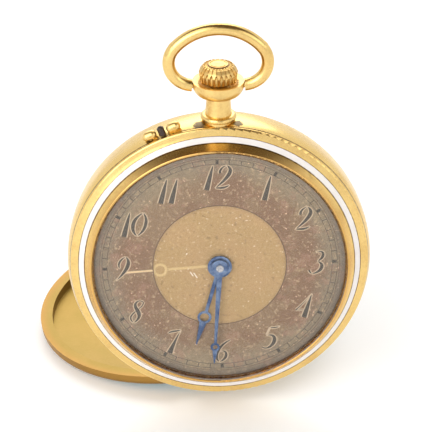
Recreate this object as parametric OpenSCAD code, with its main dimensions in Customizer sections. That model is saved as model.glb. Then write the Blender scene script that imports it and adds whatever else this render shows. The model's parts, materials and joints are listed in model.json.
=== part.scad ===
// Open-face fob watch with a hinged back cover, shown standing with the cover open.
// Watch axes: x to 3 o'clock, y to 12 o'clock, z from the dial towards the reader.
// z is 0 at the dial face and in the plane of the white enamel ring.
// Part axes: X to 3 o'clock, Y away from the reader, Z to 12 o'clock. The origin is in the middle of the
// bow's eye, on the winding stem's axis.

/* [Case] */
// Outside diameter of the band at its widest
case_d = 30; // [29.8:0.1:32]
// Depth of the widest place behind the dial face
waist_depth = 2.1; // [1.9:0.1:2.4]
// Radius of the band's round front shoulder
shoulder_r = 3.4; // [3:0.1:4]
// Radius of the band's flatter back flank
flank_r = 12; // [10:1:20]
// Depth of the joint between bezel and band
bezel_joint = 0.8; // [0.7:0.05:0.9]
// Radial clearance between the movement and the band
movement_gap = 0.1; // [0.05:0.01:0.15]
// Height of the space behind the bridges for the inner cover
back_space = 0.55; // [0.5:0.05:0.8]

/* [Bezel and crystal] */
// Radius of the bezel's round edge beside the band
bead_r = 0.25; // [0.2:0.01:0.3]
// Height of the bezel crest above the dial face
crest_h = 0.78; // [0.76:0.02:0.9]
// Width of the crest
crest_w = 0.3; // [0.2:0.02:0.36]
// Diameter of the white enamel ring at mid width
enamel_d = 27.3; // [27.2:0.05:27.4]
// Depth of the white enamel ring's middle behind the dial face
enamel_depth = 0.26; // [0.2:0.02:0.3]
// Width of the white enamel ring along its slope
enamel_w = 0.58; // [0.4:0.02:0.6]
// Slope of the white enamel ring from the dial's plane, in degrees
enamel_slope = 26; // [22:1:30]
// Depth and width of the gold edge that stands over the white enamel
enamel_edge = 0.03; // [0.02:0.01:0.05]
// Depth of the enamel in its groove
enamel_t = 0.15; // [0.1:0.01:0.2]
// Width of the gold between the crystal's edge and the middle of the white enamel
crystal_inset = 1.05; // [1:0.05:1.15]
// Height of the crystal's rim seat above the dial
crystal_seat = 0.4; // [0.35:0.05:0.5]
// Height of the crystal's rim
crystal_rim = 0.35; // [0.3:0.05:0.4]
// Rise of the crystal's dome above its rim
crystal_rise = 0.95; // [0.8:0.05:1.2]
// Thickness of the crystal
crystal_t = 0.35; // [0.3:0.05:0.4]
// Width of the ledge that the crystal sits on
crystal_ledge = 0.2; // [0.15:0.05:0.3]

/* [Back cover and inner cover] */
// Clock angle of the cover hinges from 6 towards 7
hinge_clock = 3.1; // [0:0.1:20]
// Angle between the back cover's hinge line and the plane of the case
hinge_skew = 10.9; // [0:0.1:14]
// Angle at which the back cover stands open
cover_open = 88.7; // [80:0.1:100]
// Outside diameter of the back cover
cover_d = 29.7; // [29.5:0.1:29.9]
// Depth of the back cover at its middle
cover_depth = 2.3; // [2.1:0.1:2.6]
// Rise of the back cover's dome over its edge
cover_dome = 1.1; // [0.8:0.1:1.2]
// Radius where the cover's dome turns into its wall
cover_round = 0.7; // [0.5:0.05:0.8]
// Width of the cover's flat rim
cover_rim = 1.25; // [1:0.05:1.4]
// Thickness of the cover's metal
cover_t = 0.35; // [0.3:0.05:0.45]
// Thickness of the enamel on the outside of the cover
cover_enamel_t = 0.12; // [0.08:0.01:0.15]
// Gap between a closed cover and the band
cover_gap = 0.05; // [0.03:0.01:0.08]
// Radius of the back cover's hinge barrel
knuckle_r = 0.5; // [0.45:0.01:0.52]
// Distance of the back cover's hinge line inside the cover's edge
hinge_inset = 0.15; // [0.05:0.01:0.2]
// Length of the middle knuckle on the back cover
knuckle_l = 2.2; // [2:0.1:2.4]
// Length of each outer knuckle on the band
outer_knuckle_l = 2; // [1.8:0.1:2.2]
// Diameter of the cover's hinge pin
hinge_pin_d = 0.4; // [0.3:0.02:0.5]
// Radial running clearance of the hinge pins
pin_gap = 0.02; // [0.015:0.005:0.04]
// Clearance around the knuckles
knuckle_gap = 0.12; // [0.08:0.01:0.15]
// Diameter of the inner cover
inner_cover_d = 26.3; // [26.2:0.05:26.4]
// Rise of the inner cover's dome
inner_cover_dome = 0.7; // [0.5:0.05:0.8]
// Thickness of the inner cover
inner_cover_t = 0.3; // [0.25:0.05:0.35]
// Radius of the inner cover's hinge barrel
inner_knuckle_r = 0.3; // [0.26:0.02:0.32]
// Diameter of the inner cover's hinge pin
inner_pin_d = 0.24; // [0.2:0.02:0.28]

/* [Pendant, crown and bow] */
// Depth of the stem axis behind the dial face
stem_depth = 2.2; // [2.1:0.05:2.3]
// Height of the pendant bowl's rim over the middle of the case
bowl_top = 19.1; // [19:0.1:19.6]
// Diameter of the bowl's rim
bowl_d = 5.03; // [4.9:0.01:5.1]
// Depth of the bowl
bowl_h = 1.6; // [1.5:0.05:1.8]
// Radius of the bowl's round lower edge
bowl_round = 1.2; // [1.1:0.05:1.3]
// Diameter of the neck under the bowl
neck_top_d = 2.3; // [2.2:0.05:2.5]
// Diameter of the neck at its foot
neck_foot_d = 2.8; // [2.6:0.05:3]
// Diameter of the collar at the foot of the neck
collar_d = 3.5; // [3.3:0.05:3.8]
// Thickness of the collar
collar_t = 0.6; // [0.5:0.05:0.7]
// Height of the collar's top over the middle of the case
collar_top = 15.6; // [15.5:0.05:15.8]
// Diameter of the crown
crown_d = 3.8; // [3.6:0.05:3.9]
// Height of the crown's flat top over the middle of the case
crown_top = 20.85; // [20.6:0.05:21]
// Height of the fluted part of the crown
crown_h = 1.85; // [1.7:0.05:1.9]
// Diameter of the crown's flat top
crown_cap_d = 1.95; // [1.9:0.01:2.2]
// Number of flutes round the crown, in each of its two rows
flutes = 24; // [18:1:26]
// Width of a flute
flute_w = 0.3; // [0.24:0.02:0.32]
// Diameter of the crown's tube in the pendant
tube_d = 1.6; // [1.4:0.05:1.7]
// Diameter of the winding stem
stem_d = 0.9; // [0.8:0.05:1]
// Radial running clearance of stem and tube
stem_gap = 0.05; // [0.03:0.01:0.08]
// Width of the bow between the middles of its wire
bow_w = 9.6; // [9.5:0.1:10.4]
// Height of the bow's full oval between the middles of its wire
bow_h = 7; // [6.4:0.1:7.2]
// Radius of the bow's side bends
bow_side_r = 2.4; // [2.2:0.05:2.6]
// Diameter of the bow's wire
bow_wire_d = 1.24; // [1:0.02:1.3]
// Height of the bow's pivot over the middle of the case
bow_pivot_h = 18.6; // [18.5:0.05:18.7]
// Diameter of the bow's pivot pins
bow_pin_d = 0.6; // [0.5:0.05:0.7]

/* [Pusher] */
// Clock angle of the pusher before 12
pusher_clock = 21.6; // [20:0.1:24]
// Depth of the pusher's axis behind the dial face
pusher_depth = 1.35; // [1.3:0.05:1.6]
// Diameter of the pusher's pin
pusher_d = 0.7; // [0.6:0.05:0.8]
// Height of the pusher's button over the band
pusher_h = 0.75; // [0.7:0.05:1]
// Radius of the olive-shaped guard lugs
lug_r = 0.48; // [0.4:0.02:0.55]
// Length of the guard lugs between their round ends
lug_l = 0.5; // [0.4:0.05:0.6]

/* [Dial and hands] */
// Diameter of the dial
dial_d = 24.9; // [24.8:0.05:25]
// Thickness of the dial
dial_t = 0.4; // [0.3:0.05:0.5]
// Diameter of the gilt middle of the dial
gilt_d = 13.14; // [12:0.1:14]
// Thickness of the gilt middle
gilt_t = 0.05; // [0.03:0.01:0.08]
// Diameter of the hole for the hands
hand_hole_d = 1.5; // [1.4:0.05:1.6]
// Length of the minute hand
minute_l = 10.7; // [10:0.1:11]
// Length of the hour hand
hour_l = 9; // [8:0.1:9.4]
// Distance of the hour hand's ring from the middle
hour_ring_at = 5.83; // [5:0.01:6]
// Outside diameter of the hour hand's ring
hour_ring_d = 1.4; // [1.2:0.05:1.5]
// Diameter of the hour hand's boss
hour_boss_d = 2.4; // [2:0.05:2.5]
// Diameter of the minute hand's boss
minute_boss_d = 1.8; // [1.6:0.05:1.9]
// Thickness of a hand
hand_t = 0.14; // [0.12:0.01:0.16]
// Clock angle of the minute hand at rest
minute_clock = 183.2; // [0:0.1:360]
// Clock angle of the hour hand at rest
hour_clock = 195.3; // [0:0.1:360]

/* [Movement] */
// Diameter of the movement
movement_d = 24.4; // [24.3:0.05:24.5]
// Depth of the space under the dial
dial_space = 0.75; // [0.7:0.05:0.8]
// Thickness of the main plate
plate_t = 0.9; // [0.85:0.05:1]
// Height of the train between plate and bridges
train_h = 1.15; // [1.12:0.01:1.2]
// Thickness of the bridges
bridge_t = 0.65; // [0.6:0.05:0.7]
// Width of the raised rim that carries the bridges
rim_w = 0.85; // [0.8:0.05:0.9]
// Thickness of a train wheel
wheel_t = 0.12; // [0.1:0.01:0.13]
// Diameter of a thin train arbor
arbor_d = 0.3; // [0.24:0.02:0.34]
// Diameter of a pivot
pivot_d = 0.16; // [0.12:0.01:0.18]
// Radial running clearance of a pivot
pivot_gap = 0.02; // [0.015:0.005:0.03]
// Diameter of a bearing jewel
jewel_d = 0.9; // [0.8:0.05:1]
// Diameter of the barrel's wall
barrel_d = 9.8; // [9.6:0.05:9.9]
// Diameter of the balance
balance_d = 8.4; // [8:0.05:8.45]
// Outside diameter of the hairspring
hairspring_d = 3.8; // [3.4:0.1:3.9]

/* [Hidden] */
crystal_d = enamel_d - 2 * crystal_inset;
hinge_r = cover_d / 2 - hinge_inset;
$fn = 96;

eps = 0.01;
gold = [0.86, 0.66, 0.32];
brass = [0.80, 0.66, 0.36];
steel = [0.60, 0.61, 0.64];
blue_steel = [0.10, 0.16, 0.36];
ruby = [0.62, 0.08, 0.16];

case_r = case_d / 2;
eye_h = bow_pivot_h + bow_side_r;
dial_back = -dial_t;
plate_front = dial_back - dial_space;
plate_back = plate_front - plate_t;
bridge_front = plate_back - train_h;
bridge_back = bridge_front - bridge_t;
back_joint = bridge_back - back_space;
movement_r = movement_d / 2;
bore_r = movement_r + movement_gap;
stem_z = -stem_depth;
pusher_z = -pusher_depth;

// Levels of the train behind the plate
escape_z = plate_back - 0.19;
fork_z = plate_back - 0.2;
pallet_bridge_z = plate_back - 0.5;
low_wheel_z = plate_back - 0.32;
balance_z = plate_back - 0.85;
balance_t = 0.28;
fourth_z = bridge_front + 0.1;
centre_z = bridge_front + 0.09;
barrel_front = plate_front - 0.2;
barrel_back = bridge_front + 0.25;
barrel_tooth_h = 0.3;

// Tooth counts and modules, tooth pitch circle = count times module
barrel_n = 80;
centre_pinion_n = 10;
barrel_m = 0.1378;
centre_n = 64;
third_pinion_n = 8;
centre_m = 0.1;
third_n = 60;
fourth_pinion_n = 8;
third_m = 0.0867;
fourth_n = 70;
escape_pinion_n = 7;
fourth_m = 0.068;
cannon_n = 12;
minute_n = 36;
motion_m = 0.1;
minute_pinion_n = 10;
hour_n = 40;
hour_m = motion_m * (cannon_n + minute_n) / (minute_pinion_n + hour_n);
setting_n = 26;
ratchet_n = 52;
crown_wheel_n = 26;
winding_m = 0.18;
winding_n = 14;
escape_n = 15;
escape_r = 1.5;

// Places of the arbors, seen from the dial side
function polar(r, a) = r * [cos(a), sin(a)];
function mesh(m, a, b) = m * (a + b) / 2;
barrel_dir = 150;
barrel_at = polar(mesh(barrel_m, barrel_n, centre_pinion_n), barrel_dir);
winding_reach = mesh(winding_m, ratchet_n, crown_wheel_n);
crown_wheel_at = [0, barrel_at.y + sqrt(winding_reach ^ 2 - barrel_at.x ^ 2)];
third_dir = 290;
third_at = polar(mesh(centre_m, centre_n, third_pinion_n), third_dir);
fourth_dir = 285;
fourth_at = third_at + polar(mesh(third_m, third_n, fourth_pinion_n), fourth_dir);
escape_dir = 10;
escape_at = fourth_at + polar(mesh(fourth_m, fourth_n, escape_pinion_n), escape_dir);
pallet_dir = 50;
pallet_at = escape_at + polar(escape_r / cos(30), pallet_dir);
lever_dir = 71;
lever_l = 2.9;
balance_at = pallet_at + polar(lever_l, lever_dir);
balance_dir = atan2(balance_at.y, balance_at.x);
minute_dir = 30;
minute_at = polar(mesh(motion_m, cannon_n, minute_n), minute_dir);
setting_dir = 115;
setting_at = minute_at + polar(mesh(motion_m, minute_n, setting_n), setting_dir);
lever_pivot = [-6.2, 8.4];
click_at = [-9.72, -0.81];
case_screw_dirs = [200, 35];
rim_r = movement_r - rim_w;
screw_ring_r = movement_r - rim_w / 2;

cover_r = cover_d / 2;
cover_z = back_joint - cover_gap;
hinge_z = back_joint - 0.35;
inner_cover_r = inner_cover_d / 2;
inner_seat = bridge_back - 0.1;
inner_cover_z = inner_seat - cover_gap;
inner_cover_rim_h = inner_cover_z - back_joint;
inner_hinge_r = inner_cover_r + 0.15;
inner_hinge_z = back_joint + 0.1;
inner_bore_r = inner_cover_r + 0.2;
inner_knuckle_l = 2;
inner_outer_l = 1.1;

module watch() {
    translate([0, -stem_depth, -eye_h]) rotate([90, 0, 0]) children();
}

// A disc or ring between two levels, lowest first
module disc(r, z0, z1) {
    translate([0, 0, z0]) cylinder(r = r, h = z1 - z0);
}

module ring(r, hole_r, z0, z1) {
    difference() {
        disc(r, z0, z1);
        disc(hole_r, z0 - eps, z1 + eps);
    }
}

module at(p) {
    translate([p.x, p.y, 0]) children();
}

// Local x radially outwards at a clock angle from 12, clockwise
module at_clock(a) {
    rotate([0, 0, 90 - a]) children();
}

// Local x radially outwards through the cover hinges
module at_hinge() {
    rotate([0, 0, 270 - hinge_clock]) children();
}

// A cylinder along local y, centred
module barrel_y(r, l) {
    rotate([90, 0, 0]) cylinder(r = r, h = l, center = true);
}

// A cylinder along the stem, between two heights
module along_stem(r0, r1, y0, y1) {
    translate([0, y0, stem_z]) rotate([-90, 0, 0]) cylinder(r1 = r0, r2 = r1, h = y1 - y0);
}

function tooth_pts(n, m, phase) = [
    for (i = [0 : n - 1], k = [0 : 3])
        let (a = phase + (i + [-0.3, -0.13, 0.13, 0.3][k]) * 360 / n,
             r = m * n / 2 + (k == 0 || k == 3 ? -1.15 : 0.8) * m)
        polar(r, a)
];

// Phase of a second gear that lies in direction dir from a first one and meshes with it
function meshed(phase, n1, n2, dir) = dir + 180 + 180 / n2 - (phase - dir) * n1 / n2;

module gear(n, m, phase, z0, z1) {
    translate([0, 0, z0]) linear_extrude(z1 - z0) polygon(tooth_pts(n, m, phase));
}

// A gear's rim with spokes, for the train wheels
module spoked_wheel(n, m, phase, z0, z1, spokes) {
    r = m * n / 2;
    difference() {
        gear(n, m, phase, z0, z1);
        difference() {
            disc(r - 3.2 * m, z0 - eps, z1 + eps);
            disc(0.28 * r, z0 - 2 * eps, z1 + 2 * eps);
            for (i = [0 : spokes - 1]) rotate([0, 0, i * 360 / spokes])
                translate([0, -0.045 * r, z0 - 2 * eps]) cube([r, 0.09 * r, z1 - z0 + 4 * eps]);
        }
    }
}

// Case: profiles have x as radius and y as depth

// Radius of the band's outside on its round shoulder
function band_r_at(z) = case_r - shoulder_r + sqrt(shoulder_r ^ 2 - (z + waist_depth) ^ 2);

module band_outline() {
    intersection() {
        union() {
            translate([case_r - shoulder_r, -waist_depth]) intersection() {
                circle(r = shoulder_r);
                translate([0, 0]) square([shoulder_r + 1, shoulder_r]);
            }
            translate([case_r - flank_r, -waist_depth]) intersection() {
                circle(r = flank_r);
                translate([0, -flank_r]) square([flank_r + 1, flank_r]);
            }
        }
        translate([11, back_joint]) square([8, -bezel_joint - back_joint]);
    }
}

// The band filled to its middle, to seat what stands on it
module band_envelope() {
    rotate_extrude() union() {
        band_outline();
        translate([0, back_joint]) square([case_r - 1.5, -bezel_joint - back_joint]);
    }
}

module band_ring() {
    rotate_extrude() difference() {
        band_outline();
        translate([0, back_joint - eps]) square([inner_bore_r, inner_seat - back_joint + eps]);
        translate([0, back_joint]) square([bore_r + 0.55, bridge_back + 0.3 - back_joint]);
        translate([0, back_joint]) square([bore_r, -back_joint]);
        translate([0, plate_front + 0.2]) square([movement_r + 0.4, 3]);
    }
}

module knuckle_pair(r, gap, l) {
    for (side = [-1, 1]) translate([0, side * (gap / 2 + knuckle_gap / 2 + l / 2), 0]) barrel_y(r, l);
}

module case_band() color(gold) watch() difference() {
    union() {
        band_ring();
        at_hinge() {
            at_hinge_line() knuckle_pair(knuckle_r, knuckle_l, outer_knuckle_l);
            intersection() {
                at_hinge_line() for (side = [-1, 1])
                    translate([-knuckle_r, side * (knuckle_l / 2 + outer_knuckle_l / 2 + knuckle_gap / 2)
                        - outer_knuckle_l / 2, 0])
                        cube([1.5 * knuckle_r, outer_knuckle_l, 1.1]);
                disc(case_r - 0.15, hinge_z - 1, back_joint + 0.3);
            }
            translate([inner_hinge_r, 0, inner_hinge_z])
                knuckle_pair(inner_knuckle_r, inner_knuckle_l, inner_outer_l);
        }
    }
    at_hinge() {
        at_hinge_line() {
            barrel_y(knuckle_r + knuckle_gap, knuckle_l + knuckle_gap);
            barrel_y(hinge_pin_d / 2 + pin_gap, 20);
        }
        translate([inner_hinge_r, 0, inner_hinge_z]) {
            barrel_y(inner_knuckle_r + knuckle_gap, inner_knuckle_l + knuckle_gap);
            barrel_y(inner_pin_d / 2 + pin_gap, 8);
        }
    }
    along_stem(stem_d / 2 + stem_gap, stem_d / 2 + stem_gap, movement_r - 1, case_r + 1);
    at_clock(-pusher_clock) translate([movement_r - 1, 0, pusher_z]) rotate([0, 90, 0])
        cylinder(r = pusher_d / 2 + pin_gap, h = 6);
}

module pendant() color(gold) watch() difference() {
    neck_h = bowl_top - bowl_h;
    cup_r = crown_d / 2 - 0.3;
    union() {
        along_stem(neck_foot_d / 2, neck_top_d / 2, case_r - 0.6, neck_h);
        translate([0, neck_h, stem_z]) rotate([-90, 0, 0]) rotate_extrude() union() {
            square([bowl_d / 2 - bowl_round, bowl_h]);
            translate([0, bowl_round]) square([bowl_d / 2, bowl_h - bowl_round]);
            intersection() {
                translate([bowl_d / 2 - bowl_round, bowl_round]) circle(r = bowl_round);
                square([bowl_d / 2, bowl_h]);
            }
        }
    }
    band_envelope();
    along_stem(stem_d / 2 + stem_gap, stem_d / 2 + stem_gap, case_r - 1, bowl_top);
    along_stem(tube_d / 2 + stem_gap, tube_d / 2 + stem_gap, collar_top, bowl_top + 1);
    along_stem(cup_r, cup_r + 0.45, crown_top - crown_h - 0.15, bowl_top + eps);
    translate([0, bow_pivot_h, stem_z]) rotate([0, 90, 0])
        cylinder(r = bow_pin_d / 2 + pin_gap, h = bowl_d + 2, center = true);
}

module pendant_collar() color(gold) watch() difference() {
    translate([0, collar_top - collar_t / 2, stem_z]) rotate([-90, 0, 0]) rotate_extrude() union() {
        translate([0, -collar_t / 2 - 0.6]) square([collar_d / 2 - collar_t / 2, collar_t + 0.6]);
        translate([collar_d / 2 - collar_t / 2, 0]) circle(r = collar_t / 2);
    }
    band_envelope();
    along_stem(neck_foot_d / 2, neck_top_d / 2, case_r - 0.6, bowl_top - bowl_h);
    along_stem(tube_d / 2, tube_d / 2, case_r - 2, bowl_top);
}

// Olive-shaped lugs on both sides of the pusher
module guard_lugs() color(gold) watch() at_clock(-pusher_clock) for (side = [-1, 1]) {
    offset_y = side * (pusher_d / 2 + 0.16 + lug_l / 2 + lug_r);
    difference() {
        translate([band_r_at(pusher_z) + 0.28, offset_y, pusher_z]) union() {
            barrel_y(lug_r, lug_l);
            for (end = [-1, 1]) translate([0, end * lug_l / 2, 0]) sphere(r = lug_r);
            translate([-0.9, 0, 0]) rotate([0, 90, 0]) cylinder(r = 0.62 * lug_r, h = 0.9);
        }
        band_envelope();
    }
}

// The enamel's middle, the direction out of its face, and the step from there to the gold edge beside it
enamel_mid = [enamel_d / 2, -enamel_depth];
enamel_out = [sin(enamel_slope), cos(enamel_slope)];
enamel_half = (enamel_w / 2 + enamel_edge) * [cos(enamel_slope), -sin(enamel_slope)];

// Section of the enamel, deep in its groove and up to its face or beyond
module enamel_section(above) {
    translate(enamel_mid) rotate(-enamel_slope)
        translate([-enamel_w / 2, -enamel_t]) square([enamel_w, enamel_t + above]);
}

module bezel_outline() {
    ledge_r = crystal_d / 2 - crystal_ledge;
    inner_r = dial_d / 2 + 0.1;
    bead_x = band_r_at(-bezel_joint) - bead_r;
    crest_at = [(crystal_d + crest_w) / 2, crest_h - crest_w / 2];
    slope_foot = enamel_mid + enamel_edge * enamel_out - enamel_half;
    slope = (slope_foot - crest_at) / norm(slope_foot - crest_at);
    difference() {
        union() {
            intersection() {
                translate([bead_x, -bezel_joint]) circle(r = bead_r);
                translate([inner_r, -bezel_joint]) square([4, 2]);
            }
            polygon([
                [inner_r, -bezel_joint], [bead_x, -bezel_joint], [bead_x, bead_r - bezel_joint],
                enamel_mid + enamel_edge * enamel_out + enamel_half, slope_foot,
                crest_at + 0.99 * crest_w / 2 * [-slope.y, slope.x], crest_at,
                [ledge_r, crest_at.y], [ledge_r, 0.06], [inner_r, 0.06]
            ]);
            translate(crest_at) circle(r = crest_w / 2);
        }
        translate([ledge_r - 1, crystal_seat]) square([1 + crystal_ledge, 2]);
        translate([0, -2]) square([movement_r + 0.42, 1.6]);
        enamel_section(1);
    }
}

module bezel() color(gold) watch() rotate_extrude() bezel_outline();

module bezel_enamel() color([0.95, 0.94, 0.90]) watch() rotate_extrude() enamel_section(0);

// Radius of the sphere through a rise over a chord
function dome_r(chord_r, rise) = (chord_r ^ 2 + rise ^ 2) / (2 * rise);

module crystal() color([0.85, 0.92, 0.95, 0.3]) watch() rotate_extrude() {
    rim_z = crystal_seat + crystal_rim;
    outer_r = dome_r(crystal_d / 2, crystal_rise);
    inner_chord = crystal_d / 2 - crystal_ledge - 0.1;
    inner_r = dome_r(inner_chord, crystal_rise - crystal_t + crystal_rim);
    difference() {
        union() {
            translate([0, crystal_seat]) square([crystal_d / 2, crystal_rim]);
            intersection() {
                translate([0, rim_z + crystal_rise - outer_r]) circle(r = outer_r, $fn = 360);
                translate([0, rim_z - eps]) square([crystal_d / 2, 2]);
            }
        }
        intersection() {
            translate([0, rim_z + crystal_rise - crystal_t - inner_r]) circle(r = inner_r, $fn = 360);
            translate([-1, crystal_seat - 1]) square([crystal_d, 3]);
        }
    }
}

// Covers: built closed in watch axes, then swung open about the hinge line
module at_hinge_line() {
    translate([hinge_r, 0, hinge_z]) rotate([-hinge_skew, 0, 0]) children();
}

module swing_open() {
    at_hinge_line() rotate([0, -cover_open, 0]) rotate([hinge_skew, 0, 0])
        translate([-hinge_r, 0, -hinge_z]) children();
}

// Filled outline of the back cover, grown outwards by t
module cover_outline(t) {
    r = cover_r + t;
    depth = cover_depth + t;
    edge = depth - cover_dome;
    ball_r = dome_r(r - cover_round, cover_dome);
    intersection() {
        union() {
            translate([0, -depth]) square([r - cover_round, depth]);
            translate([0, -edge + cover_round]) square([r, edge - cover_round]);
            translate([r - cover_round, -edge + cover_round]) circle(r = cover_round);
        }
        translate([0, -depth + ball_r]) circle(r = ball_r, $fn = 720);
        translate([0, -depth - 1]) square([r + 1, depth + 1]);
    }
}

module cover_inside() {
    r = cover_r - cover_rim;
    depth = cover_depth - cover_t;
    ball_r = dome_r(r, cover_dome);
    intersection() {
        translate([0, -depth]) square([r, depth + 1]);
        translate([0, -depth + ball_r]) circle(r = ball_r, $fn = 720);
    }
}

module hinge_cutout() {
    reach = knuckle_l / 2 + outer_knuckle_l + 2 * knuckle_gap;
    translate([inner_hinge_r - 0.45, -reach, hinge_z - knuckle_r - 0.12])
        cube([4, 2 * reach, 2]);
    translate([hinge_r - knuckle_r - knuckle_gap, -reach, hinge_z - 3]) cube([4, 2 * reach, 5]);
}

module back_cover() color(gold) watch() at_hinge() swing_open() difference() {
    union() {
        difference() {
            translate([0, 0, cover_z]) rotate_extrude() difference() {
                cover_outline(0);
                cover_inside();
            }
            hinge_cutout();
        }
        intersection() {
            translate([0, 0, cover_z]) rotate_extrude() cover_outline(0);
            at_hinge_line() translate([inner_hinge_r - hinge_r - 0.5, -knuckle_l / 2, -3])
                cube([hinge_r - inner_hinge_r + 0.5, knuckle_l, 3 - knuckle_r / 2]);
        }
        at_hinge_line() barrel_y(knuckle_r, knuckle_l);
    }
    at_hinge_line() barrel_y(hinge_pin_d / 2 + pin_gap, 20);
}

module cover_enamel() color([0.10, 0.42, 0.46]) watch() at_hinge()
    swing_open() translate([0, 0, cover_z]) rotate_extrude() difference() {
        intersection() {
            cover_outline(cover_enamel_t);
            translate([0, -9]) square([cover_r - 1.1, 9]);
        }
        cover_outline(0);
    }

module cover_hinge_pin() color(steel) watch() at_hinge() at_hinge_line()
    barrel_y(hinge_pin_d / 2, knuckle_l + 2 * outer_knuckle_l + knuckle_gap - 0.2);

module inner_cover() color(gold) watch() difference() {
    union() {
        rotate_extrude() difference() {
            union() {
                translate([0, back_joint]) square([inner_cover_r, inner_cover_rim_h]);
                translate([0, back_joint - inner_cover_dome]) intersection() {
                    square([inner_cover_r, inner_cover_dome + eps]);
                    translate([0, dome_r(inner_cover_r, inner_cover_dome)])
                        circle(r = dome_r(inner_cover_r, inner_cover_dome), $fn = 720);
                }
            }
            translate([0, back_joint - inner_cover_dome + inner_cover_t]) intersection() {
                square([inner_cover_r - 0.4, 3]);
                translate([0, dome_r(inner_cover_r - 0.4, inner_cover_dome)])
                    circle(r = dome_r(inner_cover_r - 0.4, inner_cover_dome), $fn = 720);
            }
            translate([0, back_joint + 0.1]) square([inner_cover_r - 0.4, 3]);
        }
        at_hinge() translate([inner_hinge_r, 0, inner_hinge_z])
            barrel_y(inner_knuckle_r, inner_knuckle_l - knuckle_gap);
    }
    at_hinge() {
        translate([inner_hinge_r, 0, inner_hinge_z]) barrel_y(inner_pin_d / 2 + pin_gap, 8);
        for (side = [-1, 1])
            translate([inner_hinge_r, side * (inner_knuckle_l / 2 + 1), inner_hinge_z])
                barrel_y(inner_knuckle_r + knuckle_gap, 2 + knuckle_gap);
    }
}

module inner_hinge_pin() color(steel) watch() at_hinge() translate([inner_hinge_r, 0, inner_hinge_z])
    barrel_y(inner_pin_d / 2, inner_knuckle_l + 2 * inner_outer_l);

// Bow: two side bends, a wide top bend and two pivot pins, in the plane of the dial
module wire_arc(r, a0, a1) {
    rotate([0, 0, a0]) rotate_extrude(angle = a1 - a0) translate([r, 0]) circle(d = bow_wire_d);
}

module bow() color(gold) watch() translate([0, bow_pivot_h + bow_side_r, stem_z]) {
    side_x = bow_w / 2 - bow_side_r;
    half_h = bow_h / 2;
    lift = half_h - bow_side_r;
    drop = (side_x ^ 2 - lift ^ 2) / (2 * lift);
    top_r = half_h + drop;
    turn = atan2(side_x, drop);
    translate([0, -drop, 0]) wire_arc(top_r, 90 - turn, 90 + turn);
    for (side = [0, 1]) mirror([side, 0, 0]) {
        translate([side_x, 0, 0]) wire_arc(bow_side_r, -86, 90 - turn);
        translate([side_x + bow_side_r * sin(turn), bow_side_r * cos(turn), 0]) rotate([0, 0, -turn])
            rotate([0, 90, 0]) cylinder(d = bow_wire_d + 0.04, h = 0.3, center = true);
        translate([tube_d / 2 + 0.4, -bow_side_r, 0]) rotate([0, 90, 0])
            cylinder(d = bow_pin_d, h = side_x + 0.5 - tube_d / 2 - 0.4);
    }
}

// Crown: two rows of flutes, one half a pitch round from the other
module crown_profile() {
    base = crown_top - crown_h;
    polygon([
        [0, base], [crown_d / 2 - 0.42, base], [crown_d / 2 - 0.12, base + 0.22],
        [crown_d / 2, base + 0.55 * crown_h], [crown_d / 2 - 0.1, base + 0.72 * crown_h],
        [crown_d / 2 - 0.4, crown_top - 0.16], [crown_cap_d / 2 + 0.1, crown_top - 0.08], [0, crown_top - 0.08]
    ]);
}

// Round-bottomed grooves, each from radius and height a to radius and height b
module flute_row(a, b, phase) {
    run = b - a;
    for (i = [0 : flutes - 1]) rotate([0, 0, (i + phase) * 360 / flutes]) translate([a.x, 0, a.y])
        rotate([0, atan2(run.x, run.y), 0]) cylinder(d = flute_w, h = norm(run));
}

module crown() color(gold) watch() difference() {
    base = crown_top - crown_h;
    waist = [crown_d / 2 + 0.03, base + 0.5 * crown_h];
    union() {
        translate([0, 0, stem_z]) rotate([-90, 0, 0]) difference() {
            rotate_extrude() crown_profile();
            flute_row([crown_d / 2 - 0.3, base - 0.05], waist, 0);
            flute_row(waist, [crown_cap_d / 2 + 0.22, crown_top], 0.5);
        }
        along_stem(tube_d / 2, tube_d / 2, collar_top + 0.2, base + 0.1);
    }
    along_stem(stem_d / 2, stem_d / 2, collar_top, crown_top - 0.7);
    along_stem(crown_cap_d / 2, crown_cap_d / 2, crown_top - 0.2, crown_top + 1);
}

module crown_cap() color(gold) watch() difference() {
    along_stem(crown_cap_d / 2, crown_cap_d / 2, crown_top - 0.2, crown_top);
    difference() {
        along_stem(crown_cap_d / 2 - 0.12, crown_cap_d / 2 - 0.12, crown_top - 0.05, crown_top + 1);
        along_stem(crown_cap_d / 2 - 0.24, crown_cap_d / 2 - 0.24, crown_top - 1, crown_top + 2);
    }
}

// Keyless work
pinion_y0 = crown_wheel_at.y + winding_m * crown_wheel_n / 2 - 0.14;
pinion_y1 = pinion_y0 + 0.85;

module winding_stem() color(steel) watch() {
    along_stem(stem_d / 2, stem_d / 2, pinion_y0 - 1.2, crown_top - 0.7);
    along_stem(0.72, 0.72, pinion_y0 - 1.1, pinion_y0 - 0.15);
}

module winding_pinion() color(steel) watch() difference() {
    translate([0, pinion_y0, stem_z]) rotate([-90, 0, 0]) linear_extrude(pinion_y1 - pinion_y0)
        polygon(tooth_pts(winding_n, 0.19, 90));
    along_stem(stem_d / 2, stem_d / 2, 0, crown_top);
}

winding_top = bridge_back + 0.35;

module crown_wheel() color(steel) watch() at(crown_wheel_at) difference() {
    gear(crown_wheel_n, winding_m, crown_wheel_phase, winding_top - 0.3, winding_top);
    disc(0.6 + pivot_gap, winding_top - 1, winding_top + 1);
}

module crown_wheel_screw() color(steel) watch() at(crown_wheel_at) slotted_screw(0.6, 1,
    winding_top - 0.3, 0.5);

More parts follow.
